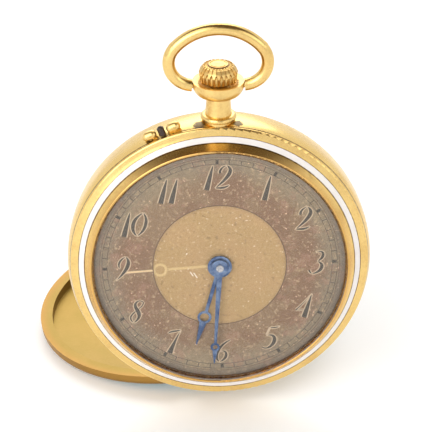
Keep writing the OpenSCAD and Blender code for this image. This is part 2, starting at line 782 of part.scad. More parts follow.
// A screw driven from the back: shank radius, head radius, level under the head, shank length
module slotted_screw(shank_r, head_r, seat, l) {
    difference() {
        union() {
            disc(head_r, seat - 0.25, seat);
            disc(shank_r, seat - eps, seat + l);
        }
        translate([-head_r - 1, -0.12, seat - 0.4]) cube([2 * head_r + 2, 0.24, 0.25]);
    }
}

crown_wheel_phase = 90 + 180 / crown_wheel_n;
to_ratchet = atan2(barrel_at.y - crown_wheel_at.y, barrel_at.x - crown_wheel_at.x);
ratchet_phase = meshed(crown_wheel_phase, crown_wheel_n, ratchet_n, to_ratchet);

module ratchet_wheel() color(steel) watch() at(barrel_at) difference() {
    gear(ratchet_n, winding_m, ratchet_phase, winding_top - 0.3, winding_top);
    disc(0.7, winding_top - 1, winding_top + 1);
}

module ratchet_screw() color(steel) watch() at(barrel_at)
    slotted_screw(0.3, 1.1, winding_top - 0.3, 0.3);

module barrel_arbor() color(steel) watch() at(barrel_at) difference() {
    union() {
        disc(0.5, barrel_back + 0.1, plate_front - 0.02);
        disc(1.1, barrel_back + 0.3, barrel_front - 0.4);
        disc(0.7, winding_top - 0.3, barrel_back + 0.4);
    }
    disc(0.3, winding_top - 0.4, winding_top + 0.3);
}

// Click: a small pawl on the barrel bridge, drawn lifted as a ratchet tooth passes under its beak
click_r = 0.5;
click_tip = barrel_at + polar(winding_m * (ratchet_n / 2 + 0.8) + 0.05, 236);

module click() color(steel) watch() translate([0, 0, winding_top - 0.28]) linear_extrude(0.2)
    difference() {
        union() {
            translate(click_at) circle(r = click_r);
            polygon([click_tip, click_at + [0, 0.36], click_at + [0, -click_r]]);
        }
        translate(click_at) circle(r = 0.2 + pivot_gap);
    }

module click_spring() color(steel) watch() translate([0, 0, winding_top - 0.28]) linear_extrude(0.2) {
    foot = click_at + [-0.75, 2.2];
    translate(foot) circle(r = 0.38);
    translate(click_at + [-0.75, -0.7]) square([0.12, 2.9]);
}

// Barrel
module barrel() color(brass) watch() at(barrel_at) difference() {
    union() {
        disc(barrel_d / 2, barrel_back, barrel_front);
        gear(barrel_n, barrel_m, barrel_dir + 180 + 180 / barrel_n, barrel_back, barrel_back + barrel_tooth_h);
    }
    disc(barrel_d / 2 - 0.3, barrel_back + 0.16, barrel_front + 1);
    disc(0.7 + pivot_gap, barrel_back - 1, barrel_front + 1);
}

module barrel_lid() color(brass) watch() at(barrel_at)
    ring(barrel_d / 2 - 0.3, 0.5 + pivot_gap, barrel_front - 0.18, barrel_front);

function spiral(r0, r1, turns, a) = polar(r0 + (r1 - r0) * a / (360 * turns), a);

module flat_spiral(r0, r1, turns, t, z0, z1, step) {
    sweep = 360 * turns;
    translate([0, 0, z0]) linear_extrude(z1 - z0) polygon([
        for (a = [0 : step : sweep]) spiral(r0, r1, turns, a),
        for (a = [sweep : -step : 0]) spiral(r0 + t, r1 + t, turns, a)
    ]);
}

module mainspring() color(steel) watch() at(barrel_at)
    flat_spiral(1.5, barrel_d / 2 - 0.45, 6, 0.12, barrel_back + 0.25, barrel_front - 0.3, 20);

// Going train
module centre_wheel() color(brass) watch() difference() {
    union() {
        spoked_wheel(centre_n, centre_m, third_dir, centre_z, centre_z + wheel_t, 4);
        gear(centre_pinion_n, barrel_m, barrel_dir, barrel_back - 0.05, barrel_back + barrel_tooth_h + 0.1);
        disc(0.45, centre_z + 0.05, plate_back - 0.02);
        disc(0.25, plate_back - 0.1, 0.5);
        disc(0.25, bridge_front - bridge_t * 0.7, centre_z + 0.1);
    }
}

module third_wheel() color(brass) watch() at(third_at) {
    spoked_wheel(third_n, third_m, fourth_dir, low_wheel_z, low_wheel_z + wheel_t, 4);
    gear(third_pinion_n, centre_m, third_dir + 180 + 180 / third_pinion_n, centre_z - 0.04, centre_z + 0.24);
    train_arbor();
}

module train_arbor() {
    disc(arbor_d / 2, bridge_front + 0.05, plate_back - 0.05);
    disc(pivot_d / 2, bridge_front - 0.35, plate_back + 0.45);
}

module fourth_wheel() color(brass) watch() at(fourth_at) {
    spoked_wheel(fourth_n, fourth_m, escape_dir, fourth_z, fourth_z + wheel_t, 4);
    gear(fourth_pinion_n, third_m, fourth_dir + 180 + 180 / fourth_pinion_n, low_wheel_z - 0.08,
        low_wheel_z + 0.2);
    train_arbor();
}

// Escape wheel with pointed, raked teeth
module escape_wheel() color(steel) watch() at(escape_at) {
    translate([0, 0, escape_z]) linear_extrude(wheel_t) difference() {
        polygon([
            for (i = [0 : escape_n - 1], k = [0 : 2])
                let (a = (i + [0, 0.16, 0.42][k]) * 360 / escape_n + pallet_dir + 6)
                polar(k == 0 ? escape_r : k == 1 ? escape_r - 0.06 : 0.72 * escape_r, a)
        ]);
        difference() {
            circle(r = 0.58 * escape_r);
            circle(r = 0.4);
            for (i = [0 : 3]) rotate(i * 90) translate([0, -0.08]) square([escape_r, 0.16]);
        }
    }
    gear(escape_pinion_n, fourth_m, escape_dir + 180 + 180 / escape_pinion_n, fourth_z - 0.05,
        fourth_z + 0.2);
    train_arbor();
}

// Pallet fork: two pallet arms over the escape wheel and a lever to the balance
module pallet_fork() color(steel) watch() at(pallet_at) {
    back_dir = pallet_dir + 180;
    arm = 0.94;
    translate([0, 0, fork_z]) linear_extrude(wheel_t) union() {
        circle(r = 0.32);
        for (side = [-1, 1]) rotate(back_dir + side * 68) {
            translate([0, -0.11]) square([arm, 0.22]);
            translate([arm - 0.22, side > 0 ? -0.16 : -0.1]) square([0.18, 0.26]);
        }
        rotate(lever_dir) {
            translate([0, -0.1]) square([lever_l - 0.95, 0.2]);
            difference() {
                translate([lever_l - 1.05, -0.3]) square([0.75, 0.6]);
                translate([lever_l - 0.62, -0.11]) square([1, 0.22]);
            }
        }
    }
    disc(pivot_d / 2, pallet_bridge_z + 0.04, plate_back + 0.45);
}

// Balance: rim with rim screws and two arms, staff, roller
module balance_wheel() color(brass) watch() at(balance_at) {
    r = balance_d / 2;
    ring(r - 0.1, r - 0.42, balance_z, balance_z + balance_t);
    difference() {
        union() {
            translate([-r + 0.3, -0.22, balance_z]) cube([2 * r - 0.6, 0.44, 0.16]);
            disc(0.6, balance_z, balance_z + 0.16);
        }
        disc(0.2, balance_z - 1, balance_z + 1);
    }
    for (i = [0 : 11]) rotate([0, 0, 15 + i * 30]) translate([r - 0.2, 0, balance_z + balance_t / 2])
        rotate([0, 90, 0]) cylinder(r = 0.12, h = 0.2);
}

module balance_staff() color(steel) watch() at(balance_at) {
    disc(0.2, bridge_front + 0.15, plate_back - 0.05);
    disc(0.34, balance_z - 0.1, balance_z);
    disc(pivot_d / 2, bridge_front - 0.35, plate_back + 0.45);
    disc(0.5, fork_z - 0.25, fork_z - 0.13);
    rotate([0, 0, lever_dir + 180]) translate([0.42, 0, fork_z - 0.14]) cylinder(r = 0.06, h = 0.22);
}

module hairspring() color(blue_steel) watch() at(balance_at)
    flat_spiral(0.42, hairspring_d / 2 - 0.06, 5, 0.06, bridge_front + 0.03, bridge_front + 0.13, 20);

module hairspring_stud() color(steel) watch() at(balance_at) rotate([0, 0, balance_dir - 38])
    translate([hairspring_d / 2 + 0.3, 0, 0]) disc(0.22, bridge_front - bridge_t - 0.1, bridge_front + 0.16);

module regulator() color(steel) watch() at(balance_at) rotate([0, 0, balance_dir + 180]) difference() {
    union() {
        disc(0.85, bridge_back - 0.16, bridge_back);
        translate([0, 0, bridge_back - 0.16]) linear_extrude(0.16)
            polygon([[0.5, 0.3], [2.9, 0.06], [2.9, -0.06], [0.5, -0.3]]);
    }
    disc(0.55, bridge_back - 1, bridge_back + 1);
}

// Plates and bridges
module sector(a0, a1, r) {
    steps = 8;
    polygon([[0, 0], for (i = [0 : steps]) polar(r, a0 + (a1 - a0) * i / steps)]);
}

module pivot_hole(p, r) {
    at(p) disc(r + pivot_gap, -9, 1);
}

module screw_holes(dirs) {
    for (a = dirs) at(polar(screw_ring_r, a)) {
        disc(0.22, -9, 1);
        disc(0.42, -9, bridge_back + 0.28);
    }
}

barrel_bridge_dirs = [72, 108, 140];
train_bridge_dirs = [236, 268, 296];
cock_dir = -13.5;
jewel_h = 0.3;

module main_plate() color(brass) watch() difference() {
    union() {
        disc(movement_r, plate_back, dial_back - 0.02);
        disc(movement_r + 0.3, plate_front + 0.2, dial_back - 0.02);
        ring(movement_r, rim_r, bridge_front, plate_back + eps);
        for (a = case_screw_dirs) intersection() {
            at(polar(movement_r - 0.45, a)) disc(0.95, bridge_back + 0.3, plate_back + eps);
            disc(movement_r, -9, 1);
        }
    }
    difference() {
        disc(movement_r - 0.8, plate_front, 1);
        at(lever_pivot) disc(0.23, plate_front - eps, motion_z + 0.47);
    }
    at(barrel_at) disc(barrel_m * barrel_n / 2 + 0.28, -9, barrel_front + 0.05);
    at(balance_at) disc(balance_d / 2 + 0.12, -9, plate_back);
    for (p = [third_at, fourth_at, escape_at, pallet_at, balance_at])
        at(p) disc(jewel_d / 2, plate_back, plate_back + jewel_h);
    for (p = [third_at, fourth_at, escape_at, pallet_at, balance_at]) pivot_hole(p, pivot_d / 2);
    disc(0.25 + pivot_gap, -9, 1);
    disc(0.5 + pivot_gap, -9, plate_back + 0.02);
    pivot_hole(barrel_at, 0.5);
    translate([-1.7, pinion_y0 - 1.35, stem_z - 2]) cube([3.4, 3, 6]);
    along_stem(stem_d / 2 + stem_gap, stem_d / 2 + stem_gap, pinion_y0, case_r);
    at_clock(-pusher_clock) translate([movement_r - 1.95, -0.6, stem_z - 0.6]) cube([3, 1.2, 3]);
    for (a = concat(barrel_bridge_dirs, train_bridge_dirs, [cock_dir]))
        at(polar(screw_ring_r, a)) disc(0.22, -9, bridge_front + 0.8);
    for (a = case_screw_dirs) at(polar(movement_r - 0.45, a)) disc(0.32, -9, bridge_back + 1.5);
    for (a = dial_foot_dirs) at(polar(dial_foot_r, a)) disc(0.3 + pivot_gap, plate_front - 0.6, 1);
    at(minute_at) disc(0.25, plate_front - 0.4, 1);
    at(setting_at) disc(0.25, plate_front - 0.4, 1);
}

module barrel_bridge() color(brass) watch() difference() {
    translate([0, 0, bridge_back]) linear_extrude(bridge_t) difference() {
        intersection() {
            circle(r = movement_r - 0.05);
            union() {
                sector(60, 206, 30);
                circle(r = 2.4);
            }
        }
        for (a = case_screw_dirs) translate(polar(movement_r - 0.45, a)) circle(r = 1.05);
    }
    at(crown_wheel_at) disc(winding_m * crown_wheel_n / 2 + 0.32, winding_top - 1, winding_top + 0.02);
    at(barrel_at) disc(winding_m * ratchet_n / 2 + 0.32, winding_top - 1, winding_top + 0.02);
    at(barrel_at) disc(0.7 + pivot_gap, -9, 1);
    at(crown_wheel_at) disc(0.6, -9, 1);
    translate([-1.7, pinion_y0 - 0.15, -9]) cube([3.4, 1.3, 9]);
    difference() {
        translate([0, 0, -9]) linear_extrude(9 + winding_top + 0.02) intersection() {
            sector(150, 204, 30);
            translate(barrel_at) circle(r = winding_m * ratchet_n / 2 + 2.12);
        }
        at(click_at) disc(0.2, winding_top - 0.3, 0);
        at(click_at + [-0.75, 2.2]) disc(0.38, winding_top - 0.08, 0);
    }
    at([0, 0]) disc(0.25 + pivot_gap, -9, 1);
    disc(centre_m * centre_n / 2 + 0.2, bridge_front - 0.02, 0);
    screw_holes(barrel_bridge_dirs);
}

module train_bridge() color(brass) watch() difference() {
    translate([0, 0, bridge_back]) linear_extrude(bridge_t) difference() {
        intersection() {
            circle(r = movement_r - 0.05);
            sector(222, 318, 30);
        }
        circle(r = 2.6);
        translate(balance_at) circle(r = 4.05);
    }
    for (p = [third_at, fourth_at, escape_at]) {
        pivot_hole(p, pivot_d / 2);
        at(p) disc(jewel_d / 2, -9, bridge_back + jewel_h);
    }
    screw_holes(train_bridge_dirs);
}

module balance_cock() color(brass) watch() difference() {
    translate([0, 0, bridge_back]) linear_extrude(bridge_t) intersection() {
        circle(r = movement_r - 0.05);
        union() {
            translate(balance_at) circle(r = 1.5);
            translate(balance_at) rotate(cock_dir) translate([0, -1.2]) square([8, 2.4]);
            rotate(cock_dir) translate([movement_r - 1.6, -1.9]) square([2, 3.8]);
        }
    }
    pivot_hole(balance_at, pivot_d / 2);
    at(balance_at) disc(jewel_d / 2, -9, bridge_back + jewel_h);
    at(balance_at) rotate([0, 0, balance_dir - 38]) translate([hairspring_d / 2 + 0.3, 0, 0])
        disc(0.22, -9, 1);
    screw_holes([cock_dir]);
}

module pallet_bridge() color(brass) watch() difference() {
    a = atan2(pallet_at.y, pallet_at.x);
    union() {
        translate([0, 0, pallet_bridge_z]) linear_extrude(0.2) union() {
            translate(pallet_at) circle(r = 0.6);
            translate(pallet_at) rotate(a) translate([0, -0.5]) square([rim_r - norm(pallet_at) - 0.25, 1]);
        }
        at(polar(rim_r - 1.2, a)) disc(0.7, pallet_bridge_z, plate_back);
    }
    pivot_hole(pallet_at, pivot_d / 2);
}

module bridge_screws() color(steel) watch()
    for (a = concat(barrel_bridge_dirs, train_bridge_dirs, [cock_dir]))
        at(polar(screw_ring_r, a)) slotted_screw(0.2, 0.4, bridge_back + 0.27, 0.9);

module bearing_jewels() color(ruby) watch() {
    for (p = [third_at, fourth_at, escape_at, balance_at]) at(p)
        ring(jewel_d / 2, pivot_d / 2 + pivot_gap, bridge_back + 0.02, bridge_back + jewel_h);
    for (p = [third_at, fourth_at, escape_at, pallet_at, balance_at]) at(p)
        ring(jewel_d / 2, pivot_d / 2 + pivot_gap, plate_back, plate_back + jewel_h);
}

module case_screws() color(steel) watch() for (a = case_screw_dirs)
    at(polar(movement_r - 0.45, a)) slotted_screw(0.3, 0.9, bridge_back + 0.3, 1.1);

// Dial and motion work
dial_foot_dirs = [20, 192, 290];
dial_foot_r = 9.6;

module dial() color([0.58, 0.50, 0.42]) watch() difference() {
    union() {
        disc(dial_d / 2, dial_back, 0);
        for (a = dial_foot_dirs) at(polar(dial_foot_r, a)) disc(0.3, plate_front - 0.5, dial_back + eps);
    }
    disc(hand_hole_d / 2, -9, 9);
    disc(gilt_d / 2, -gilt_t, 1);
}

module dial_centre() color([0.78, 0.66, 0.46]) watch() ring(gilt_d / 2, hand_hole_d / 2, -gilt_t, 0);

cannon_r = 0.38;
hour_tube_r = 0.58;
motion_z = plate_front + 0.08;

module cannon_pinion() color(steel) watch() difference() {
    union() {
        gear(cannon_n, motion_m, minute_dir, motion_z, motion_z + 0.2);
        disc(cannon_r, motion_z, 0.78);
    }
    disc(0.25 + pivot_gap, -9, 0.52);
}

module minute_wheel() color(brass) watch() at(minute_at) {
    gear(minute_n, motion_m, minute_dir + 180 + 180 / minute_n, motion_z, motion_z + 0.14);
    gear(minute_pinion_n, hour_m, minute_dir + 180, motion_z + 0.1, motion_z + 0.45);
    disc(0.25 - pivot_gap, plate_front - 0.3, motion_z + 0.1);
}

module setting_wheel() color(steel) watch() at(setting_at) {
    gear(setting_n, motion_m, meshed(minute_dir + 180 + 180 / minute_n, minute_n, setting_n, setting_dir),
        motion_z, motion_z + 0.14);
    disc(0.25 - pivot_gap, plate_front - 0.3, motion_z + 0.1);
}

module hour_wheel() color(brass) watch() difference() {
    union() {
        gear(hour_n, hour_m, minute_dir + 180 / hour_n, motion_z + 0.27, motion_z + 0.4);
        disc(hour_tube_r, motion_z + 0.27, 0.44);
    }
    disc(cannon_r + pivot_gap, -9, 9);
}

hour_hand_z = 0.26;
minute_hand_z = 0.6;
minute_ring_at = 8.85;

module hour_hand() color(blue_steel) watch() at_clock(hour_clock) difference() {
    union() {
        disc(hour_boss_d / 2, hour_hand_z, hour_hand_z + hand_t);
        translate([0, 0, hour_hand_z]) linear_extrude(hand_t) union() {
            polygon([[0, 0.22], [hour_ring_at, 0.16], [hour_ring_at, -0.16], [0, -0.22]]);
            translate([hour_ring_at, 0]) circle(d = hour_ring_d);
            polygon([[hour_ring_at + 0.55, 0.36], [hour_l, 0.05], [hour_l, -0.05], [hour_ring_at + 0.55, -0.36]]);
        }
    }
    disc(hour_tube_r, -9, 9);
    translate([hour_ring_at, 0, -9]) cylinder(d = hour_ring_d - 0.5, h = 18);
}

module minute_hand() color(blue_steel) watch() at_clock(minute_clock) difference() {
    union() {
        disc(minute_boss_d / 2, minute_hand_z, minute_hand_z + hand_t);
        translate([0, 0, minute_hand_z]) linear_extrude(hand_t) union() {
            polygon([[0, 0.3], [8, 0.14], [8, -0.14], [0, -0.3]]);
            translate([minute_ring_at, 0]) circle(r = 0.46);
            polygon([[9.1, 0.28], [minute_l, 0.04], [minute_l, -0.04], [9.1, -0.28]]);
            translate([7.9, -0.14]) square([1, 0.28]);
        }
    }
    disc(cannon_r, -9, 9);
    translate([minute_ring_at, 0, -9]) cylinder(r = 0.24, h = 18);
}

// Pin-set pusher, its spring and the setting lever
pusher_in = movement_r - 0.3;

module pusher() color(steel) watch() at_clock(-pusher_clock) translate([0, 0, pusher_z])
    rotate([0, 90, 0]) {
        translate([0, 0, pusher_in]) cylinder(d = pusher_d, h = case_r + pusher_h - pusher_in - 0.2);
        translate([0, 0, case_r + pusher_h - 0.36]) intersection() {
            sphere(d = pusher_d);
            cylinder(d = pusher_d, h = 1);
        }
    }

module pusher_spring() color(steel) watch() at_clock(-pusher_clock)
    translate([movement_r - 1.72, -1.2, plate_front]) cube([0.14, 2.4, 0.2]);

// Lever under the dial with a peg in front of the pusher and a toe beside the winding pinion
module setting_lever() color(steel) watch() {
    peg = polar(pusher_in - 0.65, 90 + pusher_clock);
    toe = [-1.15, pinion_y0 - 0.7];
    translate([0, 0, motion_z + 0.25]) linear_extrude(0.22) difference() {
        union() {
            translate(lever_pivot) circle(r = 0.55);
            for (end = [peg, toe]) {
                along = end - lever_pivot;
                translate(lever_pivot) rotate(atan2(along.y, along.x)) translate([0, -0.25])
                    square([norm(along), 0.5]);
            }
            translate(peg) circle(r = 0.25);
        }
        translate(lever_pivot) circle(r = 0.25);
    }
    at(peg) disc(0.25, stem_z - 0.2, motion_z + 0.3);
}

case_band();
pendant();
pendant_collar();
guard_lugs();
bezel();
bezel_enamel();
crystal();
cover_hinge_pin();
inner_hinge_pin();
case_screws();
dial();
dial_centre();
main_plate();
barrel_bridge();
train_bridge();
balance_cock();
pallet_bridge();
bridge_screws();
bearing_jewels();
hairspring_stud();
click_spring();
pusher_spring();
back_cover();
cover_enamel();
inner_cover();
bow();
crown();
crown_cap();
winding_stem();
winding_pinion();
crown_wheel();
crown_wheel_screw();
ratchet_wheel();
ratchet_screw();
barrel_arbor();
click();
barrel();
barrel_lid();
mainspring();
centre_wheel();
cannon_pinion();
minute_hand();
minute_wheel();
setting_wheel();
hour_wheel();
hour_hand();
third_wheel();
fourth_wheel();
escape_wheel();
pallet_fork();
balance_wheel();
balance_staff();
hairspring();
regulator();
pusher();
setting_lever();
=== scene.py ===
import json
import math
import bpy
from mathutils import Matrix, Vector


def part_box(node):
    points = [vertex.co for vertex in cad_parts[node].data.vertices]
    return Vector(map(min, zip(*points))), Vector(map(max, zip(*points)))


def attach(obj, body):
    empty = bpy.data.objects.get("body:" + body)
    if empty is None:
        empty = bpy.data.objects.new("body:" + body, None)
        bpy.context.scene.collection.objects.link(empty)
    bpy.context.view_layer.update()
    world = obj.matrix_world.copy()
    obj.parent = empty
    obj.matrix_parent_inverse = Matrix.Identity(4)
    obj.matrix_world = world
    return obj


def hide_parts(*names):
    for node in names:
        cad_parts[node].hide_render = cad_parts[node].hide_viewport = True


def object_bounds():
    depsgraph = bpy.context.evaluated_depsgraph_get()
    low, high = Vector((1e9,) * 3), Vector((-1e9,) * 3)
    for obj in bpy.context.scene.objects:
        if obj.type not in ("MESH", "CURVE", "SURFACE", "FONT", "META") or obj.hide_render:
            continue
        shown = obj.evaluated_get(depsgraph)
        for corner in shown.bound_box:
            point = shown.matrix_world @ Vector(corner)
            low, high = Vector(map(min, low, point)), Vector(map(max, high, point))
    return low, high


bl_info = {
    "name": "Open-face fob watch",
    "version": (1, 0, 0),
    "blender": (4, 5, 0),
    "location": "3D View > Sidebar > Fob watch",
    "description": "Finishes the parts of a small gold pocket watch and sets up its studio",
    "category": "Object",
}

import bmesh
import bpy
from bpy.props import FloatProperty, FloatVectorProperty, PointerProperty
from mathutils import Matrix, Vector

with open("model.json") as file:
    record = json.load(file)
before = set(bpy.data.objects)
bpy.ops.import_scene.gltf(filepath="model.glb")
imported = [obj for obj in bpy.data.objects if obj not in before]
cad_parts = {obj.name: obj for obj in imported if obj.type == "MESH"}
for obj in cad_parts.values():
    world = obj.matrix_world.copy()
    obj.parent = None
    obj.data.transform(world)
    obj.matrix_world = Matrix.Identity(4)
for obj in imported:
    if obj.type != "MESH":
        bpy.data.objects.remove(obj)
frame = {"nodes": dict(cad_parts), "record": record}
CAD_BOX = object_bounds()

# A millimetre, and the distance at which doubled points are joined, in metres
MM = 0.001
WELD = 1e-7
# Angle between two faces from which their edge is left sharp
SHARP = math.radians(34)
HOURS = 12
MINUTES = 60

# Which body a node rides on and which finish it has, as the record says
BODY_OF = {node: body for body, nodes in frame["record"]["behaviour"]["bodies"].items() for node in nodes}
SLOT_OF = {part["node"]: part["material_slot"] for part in frame["record"]["subparts"]}


def half_width(box):
    """Half of a box's width along x, in mm."""
    low, high = box
    return (high[0] - low[0]) / 2 / MM


# The middle of the dial's face, in metres
DIAL_LOW, DIAL_HIGH = (Vector(corner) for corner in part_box("dial"))
CENTRE = Vector(((DIAL_LOW.x + DIAL_HIGH.x) / 2, DIAL_LOW.y, (DIAL_LOW.z + DIAL_HIGH.z) / 2))
DIAL_RADIUS = (DIAL_HIGH.x - DIAL_LOW.x) / 2 / MM
GILT_RADIUS = half_width(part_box("dial_centre"))
ENAMEL_RADIUS = half_width(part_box("bezel_enamel"))
BEZEL_RADIUS = half_width(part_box("bezel"))
CAP_RADIUS = half_width(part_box("crown_cap"))
COVER_MIDDLE = sum((Vector(corner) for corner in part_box("back_cover")), Vector()) / 2
COVER_RADIUS = max((v.co - COVER_MIDDLE).length for v in frame["nodes"]["back_cover"].data.vertices) / MM


def colour(name, text, default):
    """A colour property."""
    settings = {"subtype": "COLOR", "size": 3, "min": 0, "max": 1}
    return FloatVectorProperty(name=name, description=text, default=default, **settings)


def millimetres(name, text, default):
    """A length property."""
    return FloatProperty(name=name, description=text, min=0, soft_max=30, default=default)


class WatchFinish(bpy.types.PropertyGroup):
    """Main colours of the watch's finishes."""

    gold: colour("Gold", "Polished yellow gold", (0.85, 0.60, 0.225))
    deep_gold: colour("Deep gold", "Gold where it is rubbed", (0.70, 0.44, 0.15))
    warm_gold: colour("Warm gold", "Gold of the bezel's inner slope", (0.66, 0.36, 0.10))
    cover_gold: colour("Cover gold", "Matt gold of the back cover", (0.33, 0.22, 0.05))
    cover_rim: colour("Cover rim", "Redder gold along the back cover's edge", (0.42, 0.23, 0.06))
    patina: colour("Patina", "Old polish and dirt in joints", (0.12, 0.05, 0.015))
    # Colour of the dark blue-grey patches on the band beside the collar
    stain: colour("Dark patch", "Blue-grey marks beside the collar", (0.03, 0.028, 0.035))
    white_enamel: colour("White enamel", "Ring in the bezel", (0.84, 0.80, 0.77))
    cover_enamel: colour("Cover enamel", "Enamel on the outside of the back cover", (0.01, 0.15, 0.17))
    chapter: colour("Chapter ring", "Silvered metal, browned with age", (0.27, 0.165, 0.101))
    chapter_edge: colour("Chapter ring's edge", "Greyer metal beside the bezel", (0.30, 0.24, 0.165))
    gilt: colour("Gilt centre", "Matt gilt middle of the dial", (0.51, 0.345, 0.16))
    numeral: colour("Numerals", "Dark filling of the numerals", (0.085, 0.072, 0.055))
    numeral_edge: colour("Numeral edges", "Bright metal round the numerals", (0.60, 0.47, 0.32))
    blued_steel: colour("Blued steel", "Hands, heated until they are blue", (0.06, 0.11, 0.24))
    plate_gilt: colour("Plate gilding", "Frosted gilding of plates and bridges", (0.62, 0.42, 0.17))
    steel: colour("Steel", "Polished steel of the winding work", (0.56, 0.56, 0.58))


class WatchDial(bpy.types.PropertyGroup):
    """Places of what is printed on the dial."""

    numeral_ring: millimetres("Numeral ring", "Radius on which the numerals are centred, in mm", 9.65)
    numeral_height: millimetres("Numeral height", "Height of a numeral, in mm", 2.68)
    turn: FloatProperty(name="Turn", description="Print's turn anticlockwise, in degrees", default=1.1)
    numeral_slant: FloatProperty(name="Slant", description="Numerals' lean, as a ratio", default=0.2)
    track_inner: millimetres("Track inner line", "Radius of the minute track's inner line, in mm", 11.12)
    track_outer: millimetres("Track outer line", "Radius of the minute track's outer line, in mm", 11.62)
    line_width: millimetres("Line width", "Width of the printed lines, in mm", 0.045)


# Second colours that the finishes mix into the main ones
CLOUDED_COVER = (0.40, 0.25, 0.07)
YELLOWED_ENAMEL = (0.72, 0.66, 0.62)
ENAMEL_CLOUD = (0.02, 0.24, 0.26)
ENAMEL_WAVE = (0.03, 0.30, 0.31)
DIAL_OLIVE = (0.38, 0.29, 0.17)
DIAL_PINK = (0.44, 0.26, 0.18)
DIAL_LIGHT_GRAIN = (0.62, 0.46, 0.28)
DIAL_DARK_GRAIN = (0.22, 0.145, 0.09)
DIAL_SPECK = (0.85, 0.60, 0.40)
# Painted shadow that the bezel casts on the dial's outer edge
DIAL_EDGE_PAINTED_SHADOW = (0.2, 0.18, 0.165)
DIAL_GHOST = (0.86, 0.66, 0.38)
GILT_CLOUD = (0.55, 0.36, 0.18)
GILT_DARK_GRAIN = (0.42, 0.27, 0.12)
GILT_LIGHT_GRAIN = (0.88, 0.66, 0.38)
GILT_PIT = (0.26, 0.17, 0.09)
# Painted glints of the gilding's frosted grain
GILT_PAINTED_GLINT = (0.9, 0.78, 0.6)
GILT_GHOST = (0.78, 0.60, 0.30)
GILT_SCRATCH = (0.95, 0.88, 0.75)
GILT_EDGE = (0.3, 0.2, 0.11)
# Painted shade and dirt in the dial's grooves
GROOVE_SHADE_AND_DIRT = (0.16, 0.10, 0.065)
LIGHT_BLUE = (0.18, 0.26, 0.42)
PUSHER_STEEL = (0.09, 0.07, 0.06)
WORN_GILDING = (0.46, 0.27, 0.1)
RUBY = (0.5, 0.02, 0.07)
DARK_RUBY = (0.28, 0.01, 0.04)


def finish_colours():
    """The scene's own copy of the finishes, which the panel can change."""
    return bpy.context.scene.watch_finish


def on_dial(x, y, lift):
    """A point over the dial's face: x to 3 o'clock, y to 12 o'clock, lift towards the reader, in mm."""
    return CENTRE + Vector((x, -lift, y)) * MM


def at_clock(radius, degrees):
    """x and y on the dial at a clock angle."""
    turn = math.radians(degrees)
    return radius * math.sin(turn), radius * math.cos(turn)


# Shader building

class Sock:
    """A socket that carries a number or a colour, with arithmetic that adds Math nodes."""

    def __init__(self, builder, socket):
        self.builder = builder
        self.socket = socket

    def __add__(self, other):
        return self.builder.maths("ADD", self, other)

    def __sub__(self, other):
        return self.builder.maths("SUBTRACT", self, other)

    def __rsub__(self, other):
        return self.builder.maths("SUBTRACT", other, self)

    def __mul__(self, other):
        return self.builder.maths("MULTIPLY", self, other)

    def __pow__(self, other):
        return self.builder.maths("POWER", self, other)

    def __abs__(self):
        return self.builder.maths("ABSOLUTE", self)

    __radd__ = __add__
    __rmul__ = __mul__


class Builder:
    """Adds nodes to a node tree, each with its settings and inputs."""

    def __init__(self, tree):
        self.tree = tree

    def add(self, kind, settings, inputs, output=0):
        """Adds a node, sets or links its inputs, and gives one of its outputs."""
        made = self.tree.nodes.new(kind)
        for setting, value in settings.items():
            setattr(made, setting, value)
        for socket, value in inputs.items():
            if isinstance(value, Sock):
                self.tree.links.new(value.socket, made.inputs[socket])
            else:
                made.inputs[socket].default_value = value
        return Sock(self, made.outputs[output])

    def maths(self, operation, *values):
        return self.add("ShaderNodeMath", {"operation": operation}, dict(enumerate(values)))

    def vector(self, operation, inputs, output=0):
        return self.add("ShaderNodeVectorMath", {"operation": operation}, inputs, output)


# Places of the colour sockets on a Mix node
MIX_A, MIX_B, MIX_RESULT = 6, 7, 2


